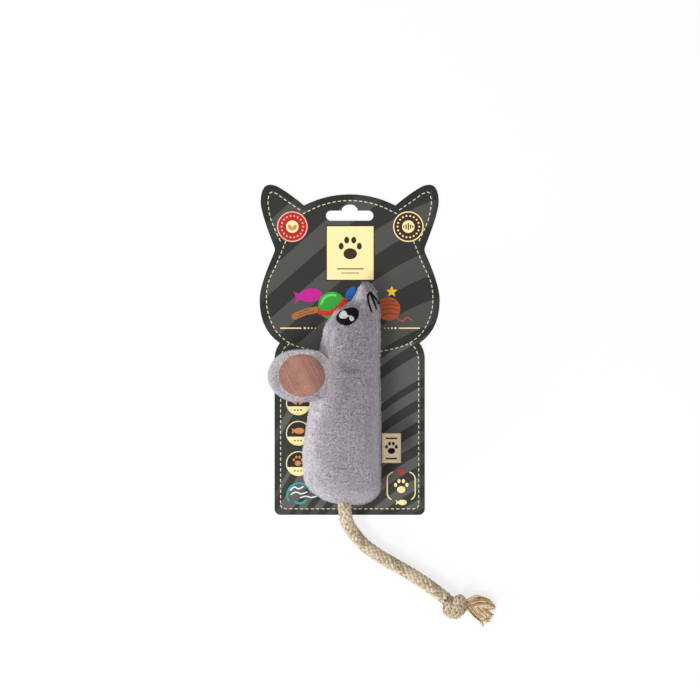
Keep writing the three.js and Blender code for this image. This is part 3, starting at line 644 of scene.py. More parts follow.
def body_panel(name, side):
    """One panel's cloth: side 1 is the front, -1 the back that is flattened on the card."""
    share = (1 - np.cos(np.linspace(0, math.pi, 150))) / 2
    along, angle = np.meshgrid(share, np.linspace(0, math.pi, 100), indexing="ij")
    y = NOSE_Y - along * BODY_LENGTH
    middle, half, seam, fullness = body_section(y)
    y = CLOTH_TOP + (y - NOSE_Y) * (CLOTH_TOP - CLOTH_BOTTOM) / BODY_LENGTH
    near_seam = np.exp(-np.sin(angle) / 0.12)
    half = half * (1 - PILE_ROOM / np.maximum(half, 2 * PILE_ROOM))
    x = middle + (half - DRAWN_IN * near_seam * fullness) * np.cos(angle)
    rise = (FRONT_RISE if side > 0 else BACK_RISE) * fullness
    z = seam + side * (0.08 + rise * np.sin(angle) ** 0.94)
    places = np.stack([x, y, z], -1)
    folds = waves(places, (4.5, 5.5, 7.0, 9.0), 5) * near_seam * FOLD_HEIGHT
    lumps = waves(places, (24.0, 31.0, 40.0, 52.0), 9) * LUMP_HEIGHT
    outward = np.stack([np.cos(angle), np.zeros_like(x), side * np.sin(angle)], -1)
    places = places + outward * ((folds + lumps) * fullness)[..., None]
    if side < 0:
        places[..., 2] = np.maximum(places[..., 2], BACK_FLOOR)
    cloth = grid_piece(name, places)
    settle(cloth)
    return walled(cloth, CLOTH_THICKNESS)


def pile_tree():
    """Short tapered fibres that stand on cloth and lean one way, random in length and tone."""
    floats = "Density Length Fibre Disorder"
    tree, given = new_tree("pile", Float=floats, Vector="Lean", Int="Seed")
    cloth, seed = given["Geometry"], given["Seed"]
    room = {"Name": "room_for_pile"}
    room = cloth.node("GeometryNodeInputNamedAttribute", room, data_type="FLOAT")
    places = {"Density": given["Density"] * room, "Seed": seed}
    points = cloth.then("GeometryNodeDistributePointsOnFaces", places)
    normal = points.other("Normal")
    stray = cloth.strays(1.0, seed).scaled(given["Disorder"])
    aim = normal.vector("ADD", given["Lean"].vector("ADD", stray))
    fibre = cloth.spike(given["Fibre"], given["Length"])
    height = fibre.node("GeometryNodeInputPosition").axis(2)
    fibre = fibre.stored("tip", height / given["Length"])
    placed = points.planted(fibre, aim, Scale=cloth.chance(seed + 1.0, 0.65, 1.15))
    toned = placed.stored("tone", cloth.chance(seed + 2.0), "INSTANCE")
    return close_tree(tree, given, toned.stored("ground", normal, "INSTANCE", "FLOAT_VECTOR"))


def fibre_cells(pile):
    """Gives each fibre of a pile its own cell of a map named OFBake, for the baked colours."""
    mesh = pile.data
    heights = np.empty(len(mesh.vertices), np.float32)
    mesh.attributes["tip"].data.foreach_get("value", heights)
    vertex = np.empty(len(mesh.loops), np.int32)
    mesh.loops.foreach_get("vertex_index", vertex)
    fibre, corner = vertex // 4, vertex % 4
    side = math.ceil(math.sqrt(fibre.max() + 1))
    across = 0.2 + 0.3 * (corner % 3)
    up = 0.2 + 0.6 * heights[vertex]
    cells = np.stack([(fibre % side + across) / side, (fibre // side + up) / side], -1)
    mesh.uv_layers.new(name="OFBake").data.foreach_set("uv", cells.astype(np.float32).ravel())


def plush_finish(name, part, is_pile):
    """Grey plush with its own mottle and flecks, under painted light: painted highlights where its cloth
    slopes or faces sideways, and more painted light and shade by part.
    """
    material, place = new_finish(name)
    mottle = place.noise(700.0)
    flecks = place.noise(960.0, 1.0).ease(0.54, 0.62)
    shade = 0.35 * place.noise(38.0) + 0.65 * mottle
    if is_pile:
        shade = 0.45 * place.read("tone") + 0.3 * place.read("tip") + 0.35 * shade
        ground = place.read("ground", 1)
        turn = {"vector_type": "NORMAL", "convert_from": "OBJECT", "convert_to": "WORLD"}
        cloth = ground.then("ShaderNodeVectorTransform", **turn)
        own = place.node("ShaderNodeNewGeometry", None, 1)
        normal = cloth.vector("MULTIPLY", (2.2, 2.2, 2.2)).vector("ADD", own).vector("NORMALIZE")
    else:
        ground = place.node("ShaderNodeTexCoord", None, 1)
        normal = mottle.bump(0.3 * MM, 0.5)
    pile = shade.ease(0.15, 0.85).mix((122, 114, 122), (207, 199, 208))
    # Painted highlight: the pile is lighter where its cloth turns away from facing up, as a rim of
    # light.
    turned = (1.0 - ground.axis(2)).ease(0.0, 0.6)
    to_right, to_nose = ground.axis(0), ground.axis(1)
    if part == "ear":
        # On the ear: a weaker painted rim, a painted highlight on faces turned left, and painted light
        # all over that grows towards the nose and by the root.
        turned = turned * 0.16
        lit = (to_right * -0.14).math("MAXIMUM", 0.0)
        painted_light = 0.1 + 1.1 * to_nose + 0.35 * place.axis(0).ease(-22.0 * MM, -16.0 * MM)
    else:
        # On the body: painted shade where the cloth faces the nose and, less, the right; painted
        # highlights on faces turned left and right; painted light towards the lower end and beside the
        # ear.
        painted_nose_shade = (to_nose + 0.8 * to_right.math("MINIMUM", 0.0)).ease(0.0, 0.6)
        turned = turned * (0.34 - 0.2 * painted_nose_shade)
        lit = (to_right * -0.22).math("MAXIMUM", to_right * 0.13)
        pile = (0.4 * painted_nose_shade).mix(pile, (94, 87, 93))
        painted_light = 0.16 * (0.0 - place.axis(1)).ease(30.0 * MM, 85.0 * MM)
        beside = (place.axis(1) + 20.0 * MM) / (38.0 * MM)
        ear_side_painted_light = (0.0 - place.axis(0)).ease(5.0 * MM, 17.0 * MM) * (1.0 - beside * beside)
        painted_light = painted_light + 0.22 * ear_side_painted_light.math("MAXIMUM", 0.0)
    colour = turned.mix(pile, (242, 239, 243))
    colour = lit.mix(colour, (253, 251, 253))
    colour = painted_light.mix(colour, (242, 239, 243))
    # The pile's own dark flecks, fewer where the painted highlights lie.
    colour = (flecks * (0.56 - turned - 1.4 * lit)).mix(colour, (98, 92, 99))
    return set_finish(material, colour, 0.9, 0.15, normal, (1.0, 0.35, srgb(245, 242, 248)))


def grow_pile(name, cloth, body, node, finish, bare=None, **sizes):
    """Covers a cloth with pile, except where bare(x, y) says that a stitch lies on it."""
    x, y, _ = places_on(cloth.data).T / MM
    room = np.ones(len(x)) if bare is None else 1 - bare(x, y)
    stored = cloth.data.attributes.new("room_for_pile", "FLOAT", "POINT")
    stored.data.foreach_set("value", room.astype(np.float32))
    ground = new_object(name, cloth.data.copy())
    pile = grown(ground, pile_fibres, **{**PILE, **sizes}, Finish=finish)
    fibre_cells(pile)
    fitted(pile, body, node)


def filling_shape():
    """The filling inside both panels, a wall's width smaller than they are."""
    share = (1 - np.cos(np.linspace(0, math.pi, 70))) / 2
    along, angle = np.meshgrid(share, np.linspace(0, 2 * math.pi, 73), indexing="ij")
    middle, half, seam, fullness = body_section(NOSE_Y - along * BODY_LENGTH)
    y = CLOTH_TOP - 3 + along * (CLOTH_BOTTOM - CLOTH_TOP + 6)
    rise = np.where(np.sin(angle) > 0, FRONT_RISE, BACK_RISE) * fullness
    x = middle + np.maximum(half - 3.4, 0.1 * half) * np.cos(angle)
    z = seam + np.maximum(rise - 3.2, 0.1 * rise) * np.sin(angle)
    z = np.maximum(z + 0.35 * waves(np.stack([x, y, z], -1), (9.0, 12.0, 17.0), 3), BACK_FLOOR + 1.6)
    return np.stack([x, y, z], -1)


PILE = {"Length": 1.25 * MM, "Fibre": 0.17 * MM, "Lean": (0.0, -0.45, 0.0), "Disorder": 0.5}
pile_fibres = pile_tree()
body_cloth = plush_finish("body_cloth", "body", False)
body_pile = plush_finish("body_pile", "body", True)
front_panel = body_panel("front_panel_cloth", 1)
back_panel = body_panel("back_panel_cloth", -1)
fitted(front_panel, "toy", "front_panel", body_cloth)
fitted(back_panel, "toy", "back_panel", body_cloth)
filling_finish, place = new_finish("polyester_filling")
colour = place.noise(380.0, 3.0).mix((222, 220, 214), (250, 249, 246))
set_finish(filling_finish, colour, 0.95, normal=place.noise(600.0, 3.0).bump(0.9 * MM, 0.6))
filling = grid_piece("polyester_filling", filling_shape())
fitted(filling, "toy", "fibre_fill", filling_finish)


# Ear
# A round ear of two layers of the same plush, sewn to the left shoulder by its rim. It is
# squarer where it meets the body, lies on the shoulder and lifts a little at its root.
EAR_MIDDLE = (-34.79, -17.3, 22.86)
EAR_HALF_LENGTH = 20.2
EAR_HALF_WIDTH = 17.2
EAR_TILT = math.radians(14)
EAR_ROOT_LENGTH = 22.4
EAR_ROOT_X = -13.4
EAR_CLOTH_THICKNESS = 1.0


def ear_layer(side):
    """One face of the ear: side 1 is the front, -1 the back that meets the shoulder."""
    reach = np.sin(np.linspace(0, math.pi / 2, 34))
    r, angle = np.meshgrid(reach, np.linspace(0, 2 * math.pi, 97), indexing="ij")
    across, along = np.cos(angle), np.sin(angle)
    power = np.where(across > 0, 2 / 3.2, 1.0)
    half = np.where(across > 0, EAR_ROOT_LENGTH, EAR_HALF_LENGTH)
    u = half * r * np.sign(across) * np.abs(across) ** power
    v = EAR_HALF_WIDTH * r * np.sign(along) * np.abs(along) ** power
    rise = (4.2 if side > 0 else 3.9) * np.clip(1 - r**2.6, 0, 1) ** (1 / 2.6)
    flat = np.stack([u, v], -1)
    w = side * (0.08 + rise) + 0.25 * waves(flat, (11.0, 15.0, 21.0), 17) * (1 - r**4)
    w += 0.3 * waves(flat, (5.0, 6.5), 19) * np.exp(-(((r - 1) / 0.1) ** 2))
    x = EAR_MIDDLE[0] + u * math.cos(EAR_TILT) - w * math.sin(EAR_TILT)
    y = EAR_MIDDLE[1] + v
    z = EAR_MIDDLE[2] + u * math.sin(EAR_TILT) + w * math.cos(EAR_TILT)
    near_root = np.clip((u - 8) / (EAR_ROOT_LENGTH - 8), 0, 1)
    near_root = near_root**2 * (3 - 2 * near_root)
    proud = 0.9 - 1.2 * near_root if side > 0 else -1.1
    z += (front_height(EAR_ROOT_X, y) + proud - z) * near_root
    over_body = np.abs(x - body_section(y)[0]) < body_section(y)[1]
    z = np.where(over_body, np.maximum(z, front_height(x, y) + proud), z)
    return np.stack([x, y, z], -1)


ear_cloth = plush_finish("ear_cloth", "ear", False)
ear_pile = plush_finish("ear_pile", "ear", True)
front_face, back_face = ear_layer(1), ear_layer(-1)
ear_front = walled(grid_piece("ear_front_cloth", front_face), EAR_CLOTH_THICKNESS)
ear_back = walled(grid_piece("ear_back_cloth", back_face), EAR_CLOTH_THICKNESS)
core = (front_face + back_face) / 2
lift = np.clip((front_face - back_face)[..., 2:] / 2 - 1.3, 0.02, None) * (0, 0, 1)
ear_core = np.vstack([(core + lift)[:29], (core - lift)[28::-1]])
fitted(ear_front, "ear", "ear_front_layer", ear_cloth)
fitted(ear_back, "ear", "ear_back_layer", ear_cloth)
ear_wadding = grid_piece("ear_wadding_sheet", ear_core)
fitted(ear_wadding, "ear", "ear_wadding", filling_finish)


# Embroidery
# Thread sewn through the cloth: a filled brown patch on the ear, a black eye with two
# pale glints in satin stitch, and three black whisker marks that meet in a point.
def height_over(piece):
    """A function for the height in mm of the piece's upper face, or of the body beside it."""
    corners = [tuple(v.co) for v in piece.data.vertices]
    tree = BVHTree.FromPolygons(corners, [tuple(p.vertices) for p in piece.data.polygons])

    def height(x, y):
        place = tree.ray_cast(Vector((x * MM, y * MM, 0.2)), Vector((0, 0, -1)))[0]
        return place.z / MM if place else float(front_height(x, y))

    return height


def inside_loop(loop, x, y):
    """Which of the places lie inside a closed loop of points."""
    within = np.zeros(np.shape(x), bool)
    for (ax, ay), (bx, by) in zip(loop, np.roll(loop, -1, axis=0)):
        crosses = (ay > y) != (by > y)
        with np.errstate(divide="ignore", invalid="ignore"):
            edge = ax + (y - ay) * (bx - ax) / (by - ay)
        within ^= crosses & (x < edge)
    return within


def closed_loop(points, steps=8):
    """A smooth closed loop through points in mm."""
    return smooth_route([points[-1], *points, *points[:2]], steps)[steps:-steps - 1]


def around(x, y, angle, across, up=None):
    """Points round a middle at these angles, this far across and up."""
    up = across if up is None else up
    return np.stack([x + across * np.cos(angle), y + up * np.sin(angle)], -1)


def oval(x, y, across, up=None, sides=48):
    return around(x, y, np.linspace(0, 2 * math.pi, sides, endpoint=False), across, up)


def along_path(path):
    """How far along a path each of its points lies."""
    return np.concatenate([[0], np.cumsum(np.linalg.norm(np.diff(path, axis=0), axis=1))])


def points_at(path, reach):
    """The points of a flat path at these distances along it."""
    gone = along_path(path)
    return np.stack([np.interp(reach, gone, path[:, k]) for k in (0, 1)], -1)


def rows_of_thread(loop, angle, spacing, stitch, height, lift, rise, seed):
    """Routes of parallel threads that fill a loop, each a row of stitches or one long one."""
    chance = np.random.default_rng(seed)
    along = np.array([math.cos(angle), math.sin(angle)])
    across = np.array([-along[1], along[0]])
    u, v = loop @ along, loop @ across
    nearby = np.roll(v, -1)
    routes = []
    for number, level in enumerate(np.arange(v.min() + spacing / 2, v.max(), spacing)):
        cross = (v > level) != (nearby > level)
        share = (level - v[cross]) / (nearby[cross] - v[cross])
        ends = np.sort(u[cross] + share * (np.roll(u, -1)[cross] - u[cross]))
        for start, end in zip(ends[::2], ends[1::2]):
            start += chance.uniform(-0.18, 0.12)
            end += chance.uniform(-0.12, 0.18)
            places = np.linspace(start, end, max(int((end - start) / 0.45) + 2, 5))
            level_here = level + chance.uniform(-0.04, 0.04)
            ground = places[:, None] * along + level_here * across
            from_end = np.minimum(places - start, end - places)
            arch = np.sqrt(np.clip(from_end / 0.9, 0, 1))
            if stitch:
                phase = (places / stitch + number * 0.37) % 1
                arch = np.minimum(arch, np.sqrt(np.clip(np.minimum(phase, 1 - phase) * 5, 0.05, 1)))
            rim = np.sqrt(np.clip(from_end / 2.4, 0, 1))
            up = np.array([height(*place) for place in ground])
            up = up + lift + rise * (0.35 * arch + 0.65 * rim)
            routes.append(np.column_stack([ground, up]) * MM)
    return routes


def thread_tree():
    """Sewing thread along every line, with a random tone for each."""
    tree, given = new_tree("thread", Float="Thread")
    number = given["Geometry"].node("GeometryNodeInputIndex")
    toned = given["Geometry"].stored("tone", number.chance(6, number=number), "CURVE")
    return close_tree(tree, given, toned.tube(given["Thread"], 5))


def thread_finish(name, dark, light, shine):
    material, place = new_finish(name)
    ply = place.noise(1500.0, 1.0)
    shade = 0.14 * place.read("tone") + 0.55 * ply + 0.3 * place.noise(120.0)
    colour = shade.ease(0.2, 0.8).mix(dark, light)
    return set_finish(material, colour, 0.5, shine, ply.bump(0.1 * MM, 0.6))


def embroider(name, routes, thread, finish, body, node):
    piece = grown(line_curve(name, routes), threads, Thread=thread / 2 * MM, Finish=finish)
    fitted(piece, body, node)


threads = thread_tree()
brown_thread = thread_finish("brown_thread", (122, 84, 72), (186, 138, 120), 0.3)
black_thread = thread_finish("black_thread", (2, 2, 3), (15, 14, 15), 0.1)
pale_thread = thread_finish("pale_thread", (164, 162, 164), (224, 223, 222), 0.4)

# The patch, the eye and its glints, as points of their outlines in mm
PATCH_MIDDLE = (-31.9, -17.2)
PATCH_HALF = (15.5, 14.2)
EYE_LOOP = closed_loop([
    (-9.0, 21.9), (-6.3, 25.8), (-1.8, 27.9), (2.7, 28.4), (5.5, 26.5), (6.0, 23.6), (5.0, 20.9),
    (2.1, 18.0), (-1.3, 16.3), (-4.8, 16.7), (-7.9, 18.6),
])
LARGE_GLINT = closed_loop([
    (-6.9, 23.6), (-5.0, 25.9), (-2.8, 25.8), (-1.8, 24.1), (-0.7, 22.5), (-2.5, 21.2),
    (-5.2, 20.9), (-6.8, 21.9),
])
SMALL_GLINT = closed_loop([
    (-0.3, 22.3), (0.9, 22.9), (2.7, 21.6), (2.8, 20.0), (1.3, 19.3), (0.0, 20.4),
])
WHISKER_POINT = (13.7, 38.7)
WHISKERS = [
    [WHISKER_POINT, (12.2, 35.6), (13.0, 30.6), (14.7, 25.4)],
    [WHISKER_POINT, (15.6, 34.0), (18.3, 27.0)],
    [WHISKER_POINT, (16.8, 35.2), (19.9, 30.6)],
]

on_ear = height_over(ear_front)
on_body = height_over(front_panel)
patch_loop = oval(*PATCH_MIDDLE, *PATCH_HALF, sides=72)
patch_rows = rows_of_thread(patch_loop, math.radians(-62), 0.36, 2.7, on_ear, 0.3, 0.4, 51)
embroider(
    "ear_patch_stitches", patch_rows, 0.42, brown_thread, "ear", "ear_patch"
)
eye_rows = rows_of_thread(EYE_LOOP, math.radians(12), 0.3, None, on_body, 0.3, 0.9, 52)
embroider("eye_stitches", eye_rows, 0.4, black_thread, "toy", "eye_patch")
for name, loop, seed in (("large", LARGE_GLINT, 53), ("small", SMALL_GLINT, 54)):
    glint_rows = rows_of_thread(loop, math.radians(100), 0.3, None, on_body, 1.3, 0.5, seed)
    node = "eye_highlight_" + name
    embroider(node + "_stitches", glint_rows, 0.38, pale_thread, "toy", node)

whisker_routes = []
chance = np.random.default_rng(55)
for line in WHISKERS:
    path = smooth_route(line, 40)
    length = along_path(path)[-1]
    for reach in np.arange(0.1, length, 0.3):
        middle, next_one = points_at(path, np.array([reach, reach + 0.3]))
        ahead = next_one - middle
        if np.linalg.norm(ahead) < 0.01:
            continue
        ahead = ahead / np.linalg.norm(ahead)
        side = np.array([-ahead[1], ahead[0]])
        half = 0.62 * (1 - 0.35 * (reach / length) ** 3) + chance.uniform(-0.05, 0.05)
        shares = np.linspace(-1, 1, 7)[:, None]
        ground = middle + shares * (side * half + 0.35 * ahead)
        lift = 0.15 + 0.75 * np.sqrt(1 - shares[:, 0] ** 2)
        heights = [on_body(*place) + up for place, up in zip(ground, lift)]
        whisker_routes.append(np.column_stack([ground, heights]) * MM)
embroider(
    "whisker_threads", whisker_routes, 0.4, black_thread, "toy", "whisker_stitches"
)


def on_patch(x, y):
    across, along = (x - PATCH_MIDDLE[0]) / PATCH_HALF[0], (y - PATCH_MIDDLE[1]) / PATCH_HALF[1]
    return np.clip((1.06 - np.hypot(across, along)) / 0.05, 0, 1)


def on_face(x, y):
    near = inside_loop(EYE_LOOP, x, y).astype(float)
    for line in WHISKERS:
        for px, py in smooth_route(line, 8):
            near = np.maximum(near, np.hypot(x - px, y - py) < 0.75)
    return near


# Pile
# The pile of all four cloths, last of the plush because it leaves room for the stitches.
EAR_PILE_LENGTH = 0.95 * MM
grow_pile(
    "front_pile", front_panel, "toy", "front_panel", body_pile, on_face, Density=3.6e6, Seed=41
)
grow_pile("back_pile", back_panel, "toy", "back_panel", body_pile, Density=1.5e6, Seed=42)
grow_pile(
    "ear_front_pile", ear_front, "ear", "ear_front_layer", ear_pile, on_patch,
    Density=4.2e6, Length=EAR_PILE_LENGTH, Seed=43, Lean=(-0.2, -0.25, 0.0),
)
grow_pile(
    "ear_back_pile", ear_back, "ear", "ear_back_layer", ear_pile,
    Density=2.0e6, Length=EAR_PILE_LENGTH, Seed=44,
)


# Hanging card
# A die-cut board, printed with a tabby's stripes in two greys and bare behind. The stripes
# are broad on the head and narrow on the panel under the arc of the chin.
CARD_TOP = 0.8

card_finish, place = new_finish("printed_board")
x, y, z = [place.axis(number) * (1 / MM) for number in range(3)]


def bands(level, first, period, width, most):
    """1 on the light bands, from the first one's level on and a period apart, up to most."""
    phase = (level - first).math("FLOORED_MODULO", period)
    band = phase.ease(0.0, 0.25) - phase.ease(width, width + 0.25)
    return band * level.math("LESS_THAN", most)


def band(level, low, high):
    return level.ease(low, low + 0.3) - level.ease(high, high + 0.3)


chin = 0.0025 * x * x + 0.00000075 * x * x * x * x - 1.8
on_head = (y - chin).ease(-0.1, 0.1)
high = y - (0.79 * x - 0.0025 * x * x - 0.00002 * x * x * x)
low = y - (1.06 * x - 0.0065 * x * x + 0.00001 * x * x * x)
wide_bands = band(low, -56.8, -39.8) + band(low, 6.3, 15.4) + band(low, -31.0, -25.8)
panel_bands = bands(low, -69.7, 15.05, 7.5, -60.0) + wide_bands
light_band = on_head * bands(high, 50.8, 33.3, 16.5, 142.0) + (1.0 - on_head) * panel_bands
heather = place.noise(1100.0, 2.0, (1.0, 0.5, 1.0))
margin = place.read("margin")
contrast = 0.8 - 0.4 * margin.ease(0.0, 0.5)
# Painted light: the panel's inks are lighter than the head's, to make up for the toy's shade falling on
# the panel.
dark_ink = on_head.mix((54, 54, 51), (47, 47, 45))
light_ink = on_head.mix((97, 97, 94), (82, 82, 79))
print_colour = (contrast * light_band + 0.25 * (heather - 0.5)).mix(dark_ink, light_ink)
edge = 0.3 * margin.ease(0.0, 0.5) + 0.45 * margin.ease(0.6, 1.0)
print_colour = edge.mix(print_colour, (26, 26, 25))
printed = (z - CARD_TOP).ease(-0.03, -0.01)
fibre = place.noise(500.0, 3.0)
colour = printed.mix(fibre.mix((196, 192, 182), (216, 213, 205)), print_colour)
set_finish(card_finish, colour, 0.9 - 0.38 * printed, 0.16, fibre.bump(0.02 * MM, 0.3))
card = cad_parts["hang_card"]
paint(card, card_finish)


def card_outline():
    """The outer edge of the card's printed face, in mm, every millimetre."""
    shape = bmesh.new()
    shape.from_mesh(card.data)
    bmesh.ops.remove_doubles(shape, verts=shape.verts, dist=0.01 * MM)
    shape.verts.index_update()
    shape.verts.ensure_lookup_table()
    nearby = {}
    for edge in shape.edges:
        level = min(vertex.co.z for vertex in edge.verts) > (CARD_TOP - 0.01) * MM
        if level and sum(face.normal.z > 0.9 for face in edge.link_faces) == 1:
            one, other = (vertex.index for vertex in edge.verts)
            nearby.setdefault(one, []).append(other)
            nearby.setdefault(other, []).append(one)
    first = max(nearby, key=lambda number: shape.verts[number].co.y)
    loop = [first, nearby[first][0]]
    while loop[-1] != first:
        loop.append(next(number for number in nearby[loop[-1]] if number != loop[-2]))
    points = np.array([tuple(shape.verts[number].co)[:2] for number in loop]) / MM
    shape.free()
    length = along_path(points)[-1]
    return points_at(points, np.linspace(0, length, int(length), endpoint=False))


# A darker margin outside the stitched line, and a dark line along the cut edge
INSETS = (0.1, 0.55, 1.1, 3.4, 4.3)
DARKNESS = (1.0, 0.8, 0.6, 0.5, 0.0)

outline = card_outline()
ahead = np.roll(outline, -2, axis=0) - np.roll(outline, 2, axis=0)
ahead /= np.linalg.norm(ahead, axis=1)[:, None]
nearby = np.roll(outline, -1, axis=0)
area = np.sum(outline[:, 0] * nearby[:, 1] - nearby[:, 0] * outline[:, 1])
inward = np.stack([-ahead[:, 1], ahead[:, 0]], -1) * math.copysign(1, area)
rows = [outline + inset * inward for inset in INSETS]
rows = np.stack([np.vstack([row, row[:1]]) for row in rows])
rows = np.concatenate([rows, np.full((*rows.shape[:2], 1), CARD_TOP + 0.012)], -1)
margin = grid_piece("card_margin", rows)
edges = [(k, (k + 1) % len(outline), k) for k in range(len(outline))]
tree = BVHTree.FromPolygons([(*p, 0) for p in outline], edges)
values = []
for x, y, _ in places_on(margin.data) / MM:
    reach = tree.find_nearest(Vector((x, y, 0)))[3]
    values.append(float(np.interp(reach, (*INSETS[:4], 4.25), DARKNESS)))
margin.data.attributes.new("margin", "FLOAT", "POINT").data.foreach_set("value", values)
margin = walled(margin, 0.01)
fitted(margin, "card", None, card_finish)


# Printing on the card
# Flat shapes of ink, each a step of a twentieth of a millimetre over the last: stitched
# lines round the edge, a plate, badges, a row of cat toys, and an emblem. No words.
def box(x, y, width, height, corner):
    parts = []
    for quarter, (sx, sy) in enumerate([(1, 1), (-1, 1), (-1, -1), (1, -1)]):
        angle = np.linspace(0, math.pi / 2, 8) + quarter * math.pi / 2
        middle = (x + sx * (width / 2 - corner), y + sy * (height / 2 - corner))
        parts.append(around(*middle, angle, corner))
    return np.vstack(parts)


def stroke(points, width, steps=10):
    """The outline of a round-ended line of this width through points."""
    path = smooth_route(points, steps)
    ahead = np.gradient(path, axis=0)
    ahead /= np.linalg.norm(ahead, axis=1)[:, None]
    side = np.stack([-ahead[:, 1], ahead[:, 0]], -1) * width / 2
    turn = np.linspace(-math.pi / 2, math.pi / 2, 9)[1:-1, None]
    front = path[-1] + np.sin(-turn) * side[-1] + np.cos(turn) * ahead[-1] * width / 2
    back = path[0] + np.sin(turn) * side[0] - np.cos(turn) * ahead[0] * width / 2
    return np.vstack([path + side, front, (path - side)[::-1], back])


def arc(x, y, radius, start, end):
    """Points of an arc, its ends given in degrees."""
    steps = max(int(abs(end - start) / 12), 4)
    return around(x, y, np.radians(np.linspace(start, end, steps)), radius)


def turned(loop, x, y, turn):
    """A loop turned by this many degrees and moved."""
    turn = math.radians(turn)
    rows = [[math.cos(turn), math.sin(turn)], [-math.sin(turn), math.cos(turn)]]
    return loop @ np.array(rows) + (x, y)


def fish(x, y, length, turn=0):
    """A plain fish in one loop, its head ahead along the turn."""
    angle = np.linspace(math.radians(158), math.radians(-158), 36)
    tail = [(-0.5, -0.22), (-0.42, 0.0), (-0.5, 0.22)]
    return turned(np.vstack([around(0.1, 0, angle, 0.4, 0.24), tail]) * length, x, y, turn)


def leaf(x, y, length, turn):
    u = np.linspace(-0.5, 0.5, 14)
    v = 0.26 * (1 - (2 * u) ** 2) ** 0.8
    lower = np.stack([u, -v], -1)[-2:0:-1]
    return turned(np.vstack([np.stack([u, v], -1), lower]) * length, x, y, turn)


def paw(x, y, size):
    toes = [(-0.36, 0.1), (-0.14, 0.34), (0.14, 0.34), (0.36, 0.1)]
    toes = [oval(x + a * size, y + b * size, 0.1 * size, 0.135 * size, 18) for a, b in toes]
    return [oval(x, y - 0.2 * size, 0.27 * size, 0.22 * size, 28), *toes]


def star(x, y, radius, points=5):
    angle = np.linspace(0, 2 * math.pi, 2 * points, endpoint=False) + math.pi / 2
    return around(x, y, angle, np.where(np.arange(2 * points) % 2, 0.45, 1.0) * radius)


def heart(x, y, size):
    t = np.linspace(0, 2 * math.pi, 40, endpoint=False)
    across = 16 * np.sin(t) ** 3
    up = 13 * np.cos(t) - 5 * np.cos(2 * t) - 2 * np.cos(3 * t) - np.cos(4 * t)
    return np.stack([x + across * size / 32, y + up * size / 32], -1)


def ink_finish(name, colour):
    material, place = new_finish(name + "_ink")
    colour = srgb(*colour)
    darker = (*(value * 0.94 for value in colour[:3]), 1.0)
    return set_finish(material, place.noise(800.0).ease(0.3, 0.7).mix(darker, colour), 0.45, 0.3)


def print_shapes(name, ink, level, *loops):
    """Prints closed loops, in mm, in one ink. A loop inside another is left out of it."""
    outline = bpy.data.curves.new(name, "CURVE")
    outline.dimensions = "2D"
    outline.fill_mode = "BOTH"
    outline.extrude = 0.015 * MM
    for loop in loops:
        line = outline.splines.new("POLY")
        line.use_cyclic_u = True
        line.points.add(len(loop) - 1)
        for point, (x, y) in zip(line.points, loop):
            point.co = (x * MM, y * MM, 0.0, 1.0)
    piece = baked(new_object(name, outline))
    for vertex in piece.data.vertices:
        vertex.co.z += (CARD_TOP + 0.05 * level + 0.02) * MM
    fitted(piece, "card", None, inks[ink])


def dash_tree():
    """Short flat dashes along a line, as of a sewn seam."""
    tree, given = new_tree("dashes", Float="Step", Vector="Dash")
    step = {"Length": given["Step"]}
    path = given["Geometry"].then("GeometryNodeResampleCurve", step, mode="LENGTH")
    dash = path.node("GeometryNodeMeshCube", {"Size": given["Dash"]})
    aim = path.node("GeometryNodeInputTangent")
    return close_tree(tree, given, path.planted(dash, aim, "X"))


INKS = {
    "cream": (250, 231, 168), "pale_cream": (226, 221, 190), "dark_brown": (56, 34, 18),
    "red": (176, 30, 28), "rose": (240, 180, 160), "magenta": (186, 22, 140),
    "green": (48, 158, 52), "light_green": (110, 205, 90), "scarlet": (205, 40, 36),
    "wood": (168, 104, 50), "dark_wood": (110, 62, 26), "blue": (24, 96, 178),
    "terracotta": (170, 78, 38), "dark_terracotta": (116, 46, 22), "yellow": (248, 200, 44),
    "teal": (40, 156, 158), "tan": (206, 134, 82), "near_black": (36, 34, 32),
    "off_white": (236, 238, 234),
}
inks = {name: ink_finish(name, colour) for name, colour in INKS.items()}

# Lines of dashes: the crown, and for the left half the ear, the side of the head with the
# chin, and the panel
CROWN = [
    (-30.6, 92.2), (-20.9, 96.8), (-10.6, 99.7), (0.3, 100.7), (11.0, 99.7), (21.2, 96.8),
    (31.0, 92.2),
]
HALF_LINES = [
    [
        (-34.3, 94.9), (-41.5, 99.8), (-47.9, 104.3), (-51.7, 106.4), (-53.8, 105.4),
        (-55.0, 101.6), (-54.9, 97.0), (-53.4, 88.9), (-50.2, 80.7), (-47.2, 74.3),
    ],
    [
        (-43.4, 72.6), (-49.3, 57.9), (-54.4, 46.8), (-56.2, 35.6), (-54.8, 24.0), (-49.6, 12.6),
        (-42.1, 5.6), (-34.0, 1.9), (-20.5, -1.1), (-10.0, -2.0), (0.0, -2.3),
    ],
    [
        (-41.2, 3.8), (-44.6, 0.4), (-46.4, -5.6), (-46.6, -12.0), (-46.6, -60.0), (-46.6, -100.0),
        (-46.5, -104.6), (-45.4, -106.7), (-43.0, -107.3), (-36.0, -107.3), (0.0, -107.3),
    ],
]
DASH = (2.1 * MM, 0.54 * MM, 0.03 * MM)

lines = [CROWN, *[np.array(line) * (mirror, 1) for line in HALF_LINES for mirror in (1, -1)]]
lines = [smooth_route([(*p, CARD_TOP + 0.05) for p in line], 12) * MM for line in lines]
dashes = grown(
    line_curve("printed_dashes", lines), dash_tree(), Step=3.55 * MM, Dash=DASH,
    Finish=inks["pale_cream"],
)
dashes.data.shade_flat()
fitted(dashes, "card")

